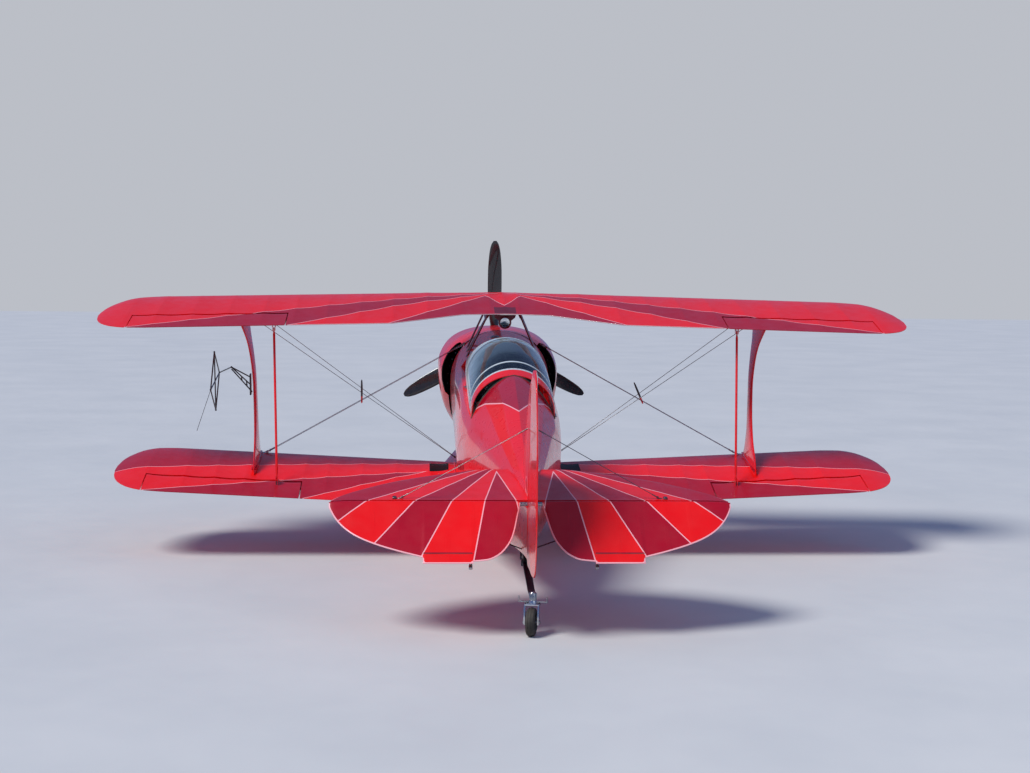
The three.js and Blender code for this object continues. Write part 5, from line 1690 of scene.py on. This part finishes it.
def inflated(name, size):
    # voxels for an even net, then cloth held up by air, with how far a point moves capped
    scene = bpy.context.scene
    start = plainObject(name, cushionStart(size), 0.001)
    net = start.modifiers.new("net", "REMESH")
    net.mode = "VOXEL"
    net.voxel_size = cushion["voxel"]
    mesh = bpy.data.meshes.new_from_object(evaluated(start))
    pad = bpy.data.objects.new(name + "_net", mesh)
    scene.collection.objects.link(pad)
    before = [v.co.copy() for v in mesh.vertices]
    after = before
    cloth = pad.modifiers.new("air", "CLOTH")
    cloth.settings.quality = 6
    cloth.settings.mass = 0.2
    cloth.settings.use_pressure = True
    cloth.settings.uniform_pressure_force = cushion["pressure"]
    cloth.settings.effector_weights.gravity = 0
    for frameNumber in range(1, cushion["frames"] + 1):
        scene.frame_set(frameNumber)
    after = [v.co.copy() for v in evaluated(pad).to_mesh().vertices]
    scene.frame_set(1)
    verts = []
    for p, q in zip(before, after):
        step = q - p
        if step.length > cushion["cap"]:
            step *= cushion["cap"] / step.length
        verts.append(tuple((p + step) * 1000))
    faces = [tuple(f.vertices) for f in mesh.polygons]
    discard(start, pad)
    return verts, faces


def settled(shape, size):
    # fitted to its place, flat underneath, crowned over the top and drawn down along the sewn channels
    verts, faces = shape
    low = [min(p[k] for p in verts) for k in range(3)]
    high = [max(p[k] for p in verts) for k in range(3)]
    wide, length, thick = size["wide"] - 2, size["long"] - 2, size["thick"]
    made = []
    for x, y, z in verts:
        x = (x - (low[0] + high[0]) / 2) * min(1, wide / (high[0] - low[0]))
        y = (y - (low[1] + high[1]) / 2) * min(1, length / (high[1] - low[1]))
        share = (z - low[2]) / (high[2] - low[2])
        z = thick * share
        if share > 0.5:
            crown = (1 - (2 * x / wide) ** 2) * (1 - (2 * y / length) ** 2)
            z -= (share - 0.5) * 2 * thick * 0.2 * (1 - max(0, crown))
            fade = ease((share - 0.5) / 0.35) * ease((length / 2 - abs(y)) / 40)
            for line in size["channels"]:
                off = abs(x - line) / cushion["grooveWidth"]
                z -= cushion["groove"] * fade * math.exp(-off * off)
        made.append((x, y, max(0, z)))
    return made, faces


def weltPath(verts, height):
    # the outermost points all round at one height
    best = {}
    for x, y, z in verts:
        if abs(z - height) < 5:
            key = round(math.atan2(y, x) / (2 * math.pi) * cushion["weltPoints"])
            if key not in best or math.hypot(x, y) > math.hypot(*best[key][:2]):
                best[key] = (x, y, height)
    points = [best[k] for k in sorted(best) if k < cushion["weltPoints"] / 2]
    return [*points, points[0]]


def cushionPieces():
    made = {}
    for kind in ("base", "back"):
        size = cushion[kind]
        shape = settled(inflated("cushion_" + kind, size), size)
        path = weltPath(shape[0], size["thick"] * cushion["weltAt"])
        made[kind] = (shape, tube(path, cushion["welt"], 8))
    return made


upright = Matrix(((-1, 0, 0, 0), (0, 0, 1, 0.4), (0, 1, 0, 45 + cushion["back"]["long"] / 2), (0, 0, 0, 1)))
cushionShapes = cushionPieces()
print("cushions filled")

harness = {
    "width": 23, "flat": 0.07,
    "shoulder": [(72, -44, 470), (72, -36, 520), (70, -12, 532), (66, 24, 512), (62, 54, 470),
                 (58, 60, 380), (48, 60, 260), (34, 62, 150), (20, 76, 96)],
    "lap": [(212, 60, -330), (212, 66, -262), (190, 96, -232), (120, 122, -226), (24, 140, -226)],
}


def harnessParts(y):
    frameOf = seatFrame(y)
    paths = [([frameOf @ Vector(p) for p in harness["shoulder"]], (1, 0, 0)),
             ([(x, y + dy, z) for x, dy, z in harness["lap"]], (0, 1, 0.3))]
    straps = [tube(smoothPath(path, 5), harness["width"], 12, chordAlong=wide, flat=harness["flat"])
              for path, wide in paths]
    buckle = softBox((-34, y + 118, -232), (34, y + 166, -216), 12)
    slides = bothSides(softBox((35, 56, 300), (89, 68, 336), 6, axis=1))
    return bothSides(joined(*straps)), joined(buckle, moved(slides, frameOf))


stick = {
    "boot": [(0, 1), (35, 1), (35, 8), (27, 16), (31, 22), (24, 30), (28, 36), (20, 46), (23, 52),
             (15, 60), (0, 60)],
    "grip": [(0, -3), (11, -2), (16, 3), (18.5, 14), (15, 30), (18, 44), (15.5, 58), (18, 72), (16, 88),
             (18, 104), (19, 118), (16, 128), (0, 131)],
    "shaft": [(0, 0, -430), (0, -10, -330), (0, -30, -170), (0, -40, -90)], "radius": 11.5,
    "lean": (0, -12, 130),
}


def stickParts(y):
    shaft = smoothPath([(x, y + dy, z) for x, dy, z in stick["shaft"]], 5)
    return [
        (turned(stick["boot"], (0, y, cockpit["floor"]), (0, 0, 1), 24), "seal"),
        (tube(shaft, stick["radius"], 16), "black"),
        (turned(stick["grip"], (0, y - 40, -100), stick["lean"], 20), "seal"),
        (turned([(0, 0), (6, 0), (6, 4), (0, 5)], (0, y - 52, 30), stick["lean"], 14), "enamel"),
    ]


for name, y in cockpit["seats"].items():
    shells, rails = seatShape(y)
    addPiece(f"seat_shell_{name}", [(shells, "matBlack"), (rails, "alloy")], "black_paint",
             stands=[f"seat_{name}"], sharp=40)
    lay = Matrix.Translation((0, y + 22 + cushion["base"]["long"] / 2, seat["panTop"] + 0.4))
    for kind, turn in (("base", lay), ("back", seatFrame(y) @ upright)):
        pad, welt = cushionShapes[kind]
        piece = addPiece(f"cushion_{kind}_{name}", [(moved(pad, turn), "leather")], "leather",
                         stands=[f"cushion_{name}"], sharp=180)
        smooth = piece.modifiers.new("smooth", "SUBSURF")
        smooth.levels = 1
        smooth.render_levels = 1
        addPiece(f"cushion_piping_{kind}_{name}", [(moved(welt, turn), "piping")], "leather", sharp=60)
    webbing, metal = harnessParts(y)
    addPiece(f"harness_{name}", [(webbing, "webbing"), (metal, "steel")], "black_paint", sharp=60)
for name, y in cockpit["sticks"].items():
    addPiece(f"control_stick_{name}", stickParts(y), "black_paint", stands=[f"stick_{name}"], sharp=40)


def throttleParts(y):
    shapes = [softBox((-256, y - 60, 20), (-226, y + 60, 74), 8, axis=0)]
    knobs = []
    for x, foot, top in ((-232, y - 10, y + 8), (-224, y + 4, y + 24)):
        shapes.append(rod((x - 4, foot, 66), (x, top, 128), 3.2, 10))
        knobs.append(turned([(0, 0), (9, 2), (11, 10), (9, 18), (0, 20)], (x, top, 126), (0, 0, 1), 16))
    return [(joined(*shapes), "black"), (joined(*knobs), "enamel")]


def pedalShape(y):
    parts = []
    for x in (-150, 150):
        parts.append(softBox((x - 42, y - 8, -330), (x + 42, y + 2, -250), 10, axis=1))
        parts.append(rod((x, y, -440), (x, y, -300), 7, 12))
        parts += [rod((x - 38, y - 10, z), (x + 38, y - 10, z), 3, 8) for z in (-310, -290, -270)]
    parts.append(rod((-175, y, -438), (175, y, -438), 9, 14))
    return joined(*parts)


for name, y in (("front", -1850), ("rear", -2520)):
    addPiece(f"throttle_{name}", throttleParts(y), "black_paint", sharp=40)
addPiece("rudder_pedals", [(joined(pedalShape(-1545), pedalShape(-2262)), "alloy")], "aluminium", sharp=40)
print("cockpit made")


# Tail fittings: the elevators' cross tube, rudder hinges, trim tab lines, horns
def lugShape(z):
    y, front = tail["rudderHingeY"], tail["sternY"] + 2
    outline = [(8, y + 3), (8, front), (-8, front), (-8, y + 3)]
    outline += [(10 * c, y + 10 * s) for c, s in arc(180, 360, 12)]
    plate = loft([[(x, y, z + dz) for x, y in outline] for dz in (-2.8, 2.8)])
    return joined(plate, rod((0, y, z - lugs["slot"]), (0, y, z + lugs["slot"]), 5, 14))


crossTube = rod((-65.5, tail["hingeY"], tail["hingeZ"]), (65.5, tail["hingeY"], tail["hingeZ"]), 12, 20)
addPiece("elevator_cross_tube", [(crossTube, "steel")], "steel", body="elevators", turn=elevatorTurn,
         sharp=50)
addPiece("rudder_hinge_lugs", [(joined(*[lugShape(z) for z in lugs["heights"]]), "steel")], "steel")

# Trim tabs, in millimetres from the elevators' hinge
tab = {
    "x": (349, 632), "chord": 392, "end": 462,
    "hornX": 358, "horn": [(-390, -3), (-452, -3), (-446, -25), (-440, -71), (-426, -71), (-408, -25)],
    "rod": ((366, -432, -64), (366, -130, -16)), "clevis": ((351, -445, -74), (372, -420, -54)),
}


def tabParts():
    # the gap ahead of the tab as dark strips on both faces, which are painted shade of the gap, and its
    # hinge strip, then the horn with its rod
    x0, x1 = tab["x"]
    y = -tab["chord"]
    face = between((tail["nose"],), (tail["edge"],), tab["chord"] / tab["end"])[0]
    gapShadeStrips, strips = [], []
    for z in (face - 0.7, 0.7 - face):
        gapShadeStrips.append(softBox((x0, y - 2, z - 0.9), (x1, y + 2, z + 0.9), 0.8, axis=0))
        strips.append(softBox((x0 + 3, y + 3, z - 0.6), (x1 - 3, y + 11, z + 1.1), 0.8, axis=0))
    horn = sidePlate(tab["horn"], tab["hornX"] - 4, tab["hornX"] + 4)
    link = joined(rod(*tab["rod"], 3, 10), softBox(*tab["clevis"], 5, axis=0))
    toHinge = Matrix.Translation((0, tail["hingeY"], tail["hingeZ"]))
    shapes = [(joined(*gapShadeStrips), "seal"), (joined(*strips), "crimsonEnamel"), (horn, "black"), (link, "steel")]
    return [(moved(shape, toHinge), finish) for shape, finish in shapes]


addPair("trim_tab_", tabParts(), "crimson_fabric", body="elevators", turn=elevatorTurn, sharp=40)


def aileronHinge(w, x):
    _, back, z, _ = wingEdges(w, x)
    return Vector((x, back + wing["hingeFromBack"], z))


def hingePinShape(w):
    # at each end of the aileron, from the wing's end wall into the aileron
    pins = []
    for x, way in zip(w["aileron"], (1, -1)):
        hinge = aileronHinge(w, x)
        along = (aileronHinge(w, x + 50) - hinge).normalized() * way
        pins.append(rod(hinge - along * 16, hinge + along * 8, 6, 16))
    return joined(*pins)


pins = joined(hingePinShape(upperWing), hingePinShape(lowerWing))
addPair("aileron_hinge_pins_", [(pins, "steel")], "steel", sharp=50)
print("tail fittings made")


# Landing gear: columns of the pant as the body's, about the axle
gear = {
    "wheel": (800, -1318.5, -1033.3), "axle": 19,
    "pant": [(300, 24, 26, 0, -24, 2.2, 2.2), (265, 62, 88, 0, -72, 2.2, 2.4),
             (180, 92, 150, 0, -105, 2.2, 2.6), (60, 104, 186, 0, -118, 2.2, 3),
             (-80, 104, 194, 0, -118, 2.2, 3), (-220, 94, 170, 0, -112, 2.2, 3),
             (-360, 72, 124, 0, -96, 2.2, 2.8), (-480, 42, 72, 0, -68, 2.2, 2.4),
             (-560, 12, 22, 0, -34, 2.2, 2.2)],
    "pantPlaces": [300, 296, 288, 278, 265, *steps(245, -500, 26), -520, -536, -548, -556, -560],
    "well": [(0, -76), (192, -76), (192, 76), (0, 76)], "mouth": ((-76, -175, -400), (76, 175, -60)),
    "leg": [(290, -1090, -1690, -560, 46), (540, -1168.5, -1648.5, -840, 42),
            (710, -1248.5, -1398.5, -1023.3, 38)],
    "tyre": [(0, 180), (8, 179.8), (9, 176.4), (13, 176.2), (14, 179.4), (26, 177.6), (27, 173.8),
             (31, 173.2), (32, 176.2), (42, 171.5), (50, 163), (56, 152), (60, 138), (61.6, 126),
             (60.6, 124), (60.6, 121), (61.8, 119), (61, 106), (57, 91), (51, 78), (45, 69), (40, 64)],
    "hub": [(46, 19.4), (46, 30), (42, 34), (42, 44), (46, 47), (46, 50), (38, 54), (31, 55.5), (31, 63.6)],
}


def onAxle(profile, count, at=(0, 0, 0)):
    return turned(profile, at, (1, 0, 0), count)


def atWheel(parts):
    return [(moved(shape, Matrix.Translation(gear["wheel"])), finish) for shape, finish in parts]


def pantShell():
    x, y, z = gear["wheel"]
    rings = [[(x + dx, y + dy, z + dz) for dx, dy, dz in bodyRing(rowAt(gear["pant"], place), 48)]
             for place in gear["pantPlaces"]]
    mouth = [(x + dx, y + dy, z + dz) for dx, dy, dz in gear["mouth"]]
    return carved(loft(rings), onAxle(gear["well"], 64, gear["wheel"]), box(*mouth))


def pantTrim():
    # the screws along the shell's joint and the axle cover
    row = rowAt(gear["pant"], -150)
    screws = studs([skinSpot(row, t) for t in steps(-0.5, math.pi + 0.5, 16)], 3.4, 1.4)
    cover = onAxle([(0, -4), (30, -4), (30, 1.5), (24, 3), (0, 3.4)], 28, (103.5, 0, 0))
    return [(screws, "steel"), (cover, "crimsonEnamel")]


def gearLegShape():
    rings = []
    for x in [*steps(290, 540, 10), *steps(560, 706, 8)]:
        _, front, back, z, thick = rowAt(gear["leg"], x)
        rings.append(ovalRing(x, z, front, back, thick))
    return loft(rings)


def shockParts():
    start, end = Vector(gear["wheel"]) + Vector((-150, -10, 45)), Vector((70, -1390, -600))
    way = (end - start).normalized()
    length = (end - start).length
    profile = [(0, 0), (13, 0), (13, 120), (20, 130), (20, 330), (15, 340), (15, length), (0, length)]
    boots = [turned([(17, h), (21.5, h + 4), (21.5, h + 9), (17, h + 13)], start, way, 24)
             for h in range(350, 460, 16)]
    return [(turned(profile, start, way, 24), "black"), (joined(*boots), "seal")]


def wholeProfile(half):
    # a half profile of (x, radius) points as (radius, x) ones on both sides
    return [(r, x) for x, r in half] + [(r, -x) for x, r in reversed(half) if x > 0]


def hubParts():
    disc = onAxle([(30, -53), (60, -53), (60, -49), (30, -49)], 40)
    bolts = studs([(Vector((42, 39 * c, 39 * s)), Vector((1, 0, 0))) for c, s in circle(6)], 5, 5, 6)
    return [(onAxle(wholeProfile(gear["hub"]), 48), "alloy"), (joined(disc, bolts), "steel")]


axle = [rod((-132, 0, 0), (52, 0, 0), gear["axle"], 24), rod((48, 0, 0), (57, 0, 0), 18, 6)]
addPair("gear_leg_fairing_", [(gearLegShape(), "enamel"), *atWheel([(joined(*axle), "steel")])],
        "red_paint", stands=["gear_leg_"], sharp=45)
addPair("shock_unit_", shockParts(), "black_paint", stands=["shock_strut_"], sharp=40)
addPair("wheel_pant_shell_", [(pantShell(), "enamel"), *atWheel(pantTrim())], "red_paint",
        stands=["wheel_pant_"])
addPair("main_tyre_", atWheel([(onAxle(wholeProfile(gear["tyre"]), 96), "rubber")]), "rubber",
        body="wheel_", stands=["tyre_"], sharp=30)
addPair("main_hub_", atWheel(hubParts()), "aluminium", body="wheel_", stands=["hub_"])
print("landing gear made")

# Tail wheel: spring leaves on the body, the fork and wheel in the ground's space under their pivot
tailWheel = {
    "leaf": [(-4380, -330, 24, 16), (-4600, -318, 24, 16), (-4850, -316, 22, 12), (-5020, -316, 21, 11),
             (-5182.8, -289.8, 21, 11)],
    "pivotY": -2.509, "turn": -14, "leafEdge": 2.2, "wheel": (0, -38, 83),
    "tyre": [(0, 83), (5, 82.8), (6, 80.4), (9, 80.2), (10, 82), (20, 78), (25, 70), (27, 60), (23, 48),
             (14, 36.5), (20, 32), (22, 28), (22, 8.4)],
    "arm": [(14, 186), (-36, 186), (-52, 120), (-54, 76), (-50, 67), (-38, 63), (-26, 67), (-20, 78),
            (2, 140)],
}
pivotPlace = Matrix.Translation((0, tailWheel["pivotY"], 0))
steeringPlace = pivotPlace @ Matrix.Rotation(math.radians(tailWheel["turn"]), 4, "Z")


def leafShape():
    rings = []
    for y in [-4380, *steps(-4390, -5182.8, 26)]:
        _, z, half, thick = rowAt(tailWheel["leaf"], y)
        edge = tailWheel["leafEdge"]
        side = [(half - edge, z), (half, z + edge), (half, z + thick - edge), (half - edge, z + thick)]
        rings.append([(x, y, z) for x, z in [*side, *((-x, z) for x, z in reversed(side))]])
    return loft(rings)


def coilShape(x, y, low, high, radius, wireRadius, turns):
    around = arc(0, 360 * turns, 12 * turns)
    heights = steps(low, high, 12 * turns)
    return tube([(x + radius * c, y + radius * s, z) for (c, s), z in zip(around, heights)], wireRadius, 6)


def forkParts():
    crown = lathe([(0, 173), (24, 173), (24, 196), (20, 203), (0, 203)], 32)
    bridge = softBox((-44, -40, 173), (44, 22, 186), 9)
    arms = bothSides(sidePlate(tailWheel["arm"], 36, 44))
    _, y, z = tailWheel["wheel"]
    bits = [rod((-50, y, z), (50, y, z), 8, 20), bothSides(rod((45, y, z), (50, y, z), 12, 6))]
    bits.append(bothSides(rod((82, 2, 190), (82, 2, 225), 2.6, 12)))
    bits += [coilShape(x, 2, 199, 222, 3.4, 0.9, 6) for x in (-82, 82)]
    bits.append(softBox((-86, -5, 188), (86, 9, 197), 4))
    return [(joined(crown, bridge, arms), "chrome"), (joined(*bits), "steel")]


def fromGround(shape):
    # from millimetres about the pivot's foot to the airframe's millimetres
    change = airframe.inverted() @ pivotPlace
    return [tuple((change @ (Vector(p) / 1000)) * 1000) for p in shape[0]], shape[1]


boss = lathe([(0, 203.6), (23, 203.6), (23, 240), (16, 250), (0, 250)], 28)
clamps = [softBox((-30, y - 16, -338), (30, y + 16, -296), 5, axis=1) for y in (-4450, -4560)]
saddle = softBox((-22, -4600, -322), (22, -4420, -240), 6, axis=1)
addPiece("tail_spring_leaf", [
    (joined(leafShape(), *clamps), "spring"), (saddle, "black"), (fromGround(boss), "steel"),
], "steel", stands=["tail_spring"])
addPiece("tail_fork_frame", forkParts(), "steel", body="tail_steering", stands=["tail_fork"],
         place=steeringPlace)
tailTyre = onAxle(wholeProfile(tailWheel["tyre"]), 64, tailWheel["wheel"])
addPiece("tail_wheel_tyre", [(tailTyre, "rubber")], "rubber", body="tail_wheel", stands=["tail_tyre"],
         place=steeringPlace, sharp=30)
print("tail wheel made")


# Small fittings on the skins
fasteners = {
    "joint": {-1012: fuselage["rows"], -985: cowling["rows"]}, "turns": (-50, 230), "count": 34,
    "sideHeights": (-6, -34), "sizes": (4.5, 1.3),
}


def fastenerShape():
    # a row of heads on each side of the cowling's rear joint, and one above and below its side joints
    spots, sideSpots = [], []
    for y, rows in fasteners["joint"].items():
        spots += skinSpots(rows, y, *fasteners["turns"], fasteners["count"])
    for z in fasteners["sideHeights"]:
        for y in steps(-150, -840, 9):
            row = rowAt(cowling["rows"], y)
            _, _, top, waist, bottom, _, _ = row
            sine = (z - waist) / (top - waist if z > waist else waist - bottom)
            sideSpots.append(skinSpot(row, math.asin(max(-1, min(1, sine)))))
    return joined(studs(spots, *fasteners["sizes"]), bothSides(studs(sideSpots, *fasteners["sizes"])))


addPiece("cowl_fasteners", [(fastenerShape(), "steel")], "steel")
filler = bodyPoint(rowAt(fuselage["rows"], -1210), math.radians(97), -1)
cap = turned([(0, 0), (36, 0), (36, 3), (30, 6), (12, 7), (12, 10), (0, 10)], filler, (0, 0, 1), 32)
addPiece("fuel_filler_cap", [(cap, "alloy")], "aluminium")
fillet = tube([p for p in wingRing(lowerWing, 381, False) if p[1] > -2745], 7, 8)
addPair("wing_root_fillet_", [(fillet, "enamel")], "red_paint", sharp=60)
print("small fittings made")


# Studio: pale floor, soft light from the port side and the camera at the photograph's viewpoint
studio = {
    "floor": 60.0, "keyFrom": (-9.0, -5.5, 14.0), "keySpread": math.radians(22), "keyPower": 2.85,
    "fillFrom": (7.0, -12.0, 6.0), "fillSize": 8.0, "fillPower": 150, "aim": Vector((0, 0, 0.9)),
    "sky": (0.33, 0.50, 1.0, 1), "skyPower": 0.37, "backdrop": (0.50, 0.52, 0.57, 1),
}
camera = {"place": (-0.660, -11.625, 2.105), "yaw": 3.42, "down": 4.21, "roll": 0.60, "lens": 56.25}


def addFloor():
    half = studio["floor"]
    shape = ([(-half, -half, 0), (half, -half, 0), (half, half, 0), (-half, half, 0)], [(0, 1, 2, 3)])
    floor = plainObject("studio_floor", shape)
    material, tree, shader, place = startFinish("studio_floor", {"Specular IOR Level": 0.3})
    pale = mixColours(tree, speckle(tree, place, 0.8, 5), srgb(214, 213, 209), srgb(206, 206, 203))
    tree.links.new(pale, shader.inputs["Base Color"])
    tree.links.new(speckle(tree, place, 5, 4, 0.5, 0.62), shader.inputs["Roughness"])
    floor.data.materials.append(material)


def addLamp(name, kind, place, power, **options):
    light = bpy.data.lights.new(name, kind)
    light.energy = power
    for option, value in options.items():
        setattr(light, option, value)
    lamp = bpy.data.objects.new(name, light)
    bpy.context.scene.collection.objects.link(lamp)
    lamp.location = place
    lamp.rotation_euler = (studio["aim"] - Vector(place)).to_track_quat("-Z", "Y").to_euler()


def addStudio():
    addFloor()
    addLamp("key_light", "SUN", studio["keyFrom"], studio["keyPower"], angle=studio["keySpread"])
    addLamp("fill_light", "AREA", studio["fillFrom"], studio["fillPower"], shape="DISK",
            size=studio["fillSize"])
    world = bpy.data.worlds.new("studio_sky")
    bpy.context.scene.world = world
    world.use_nodes = True
    tree = world.node_tree
    background = tree.nodes["Background"]
    background.inputs["Color"].default_value = studio["sky"]
    background.inputs["Strength"].default_value = studio["skyPower"]
    # the backdrop itself stays pale, the blue light only tints shadows and reflections
    backdrop = addNode(tree, "Background", {"Color": studio["backdrop"], "Strength": 1.0})
    both = mixShaders(tree, addNode(tree, "LightPath").outputs["Is Camera Ray"], background, backdrop)
    tree.links.new(both.outputs[0], tree.nodes["World Output"].inputs["Surface"])
    bpy.context.scene.view_settings.view_transform = "Standard"


def addCamera():
    yaw, down, roll = (math.radians(camera[key]) for key in ("yaw", "down", "roll"))
    ahead = Vector((math.sin(yaw) * math.cos(down), math.cos(yaw) * math.cos(down), -math.sin(down)))
    level = Vector((math.cos(yaw), -math.sin(yaw), 0))
    up = level.cross(ahead)
    right = math.cos(roll) * level + math.sin(roll) * up
    upright = -math.sin(roll) * level + math.cos(roll) * up
    lens = bpy.data.cameras.new("photo_camera")
    lens.lens = camera["lens"]
    lens.sensor_width = 36
    lens.clip_end = 200
    view = bpy.data.objects.new("photo_camera", lens)
    bpy.context.scene.collection.objects.link(view)
    turn = Matrix((right, upright, -ahead)).transposed().to_4x4()
    view.matrix_world = Matrix.Translation(camera["place"]) @ turn
    bpy.context.scene.camera = view


addStudio()
addCamera()
print("studio and camera placed")
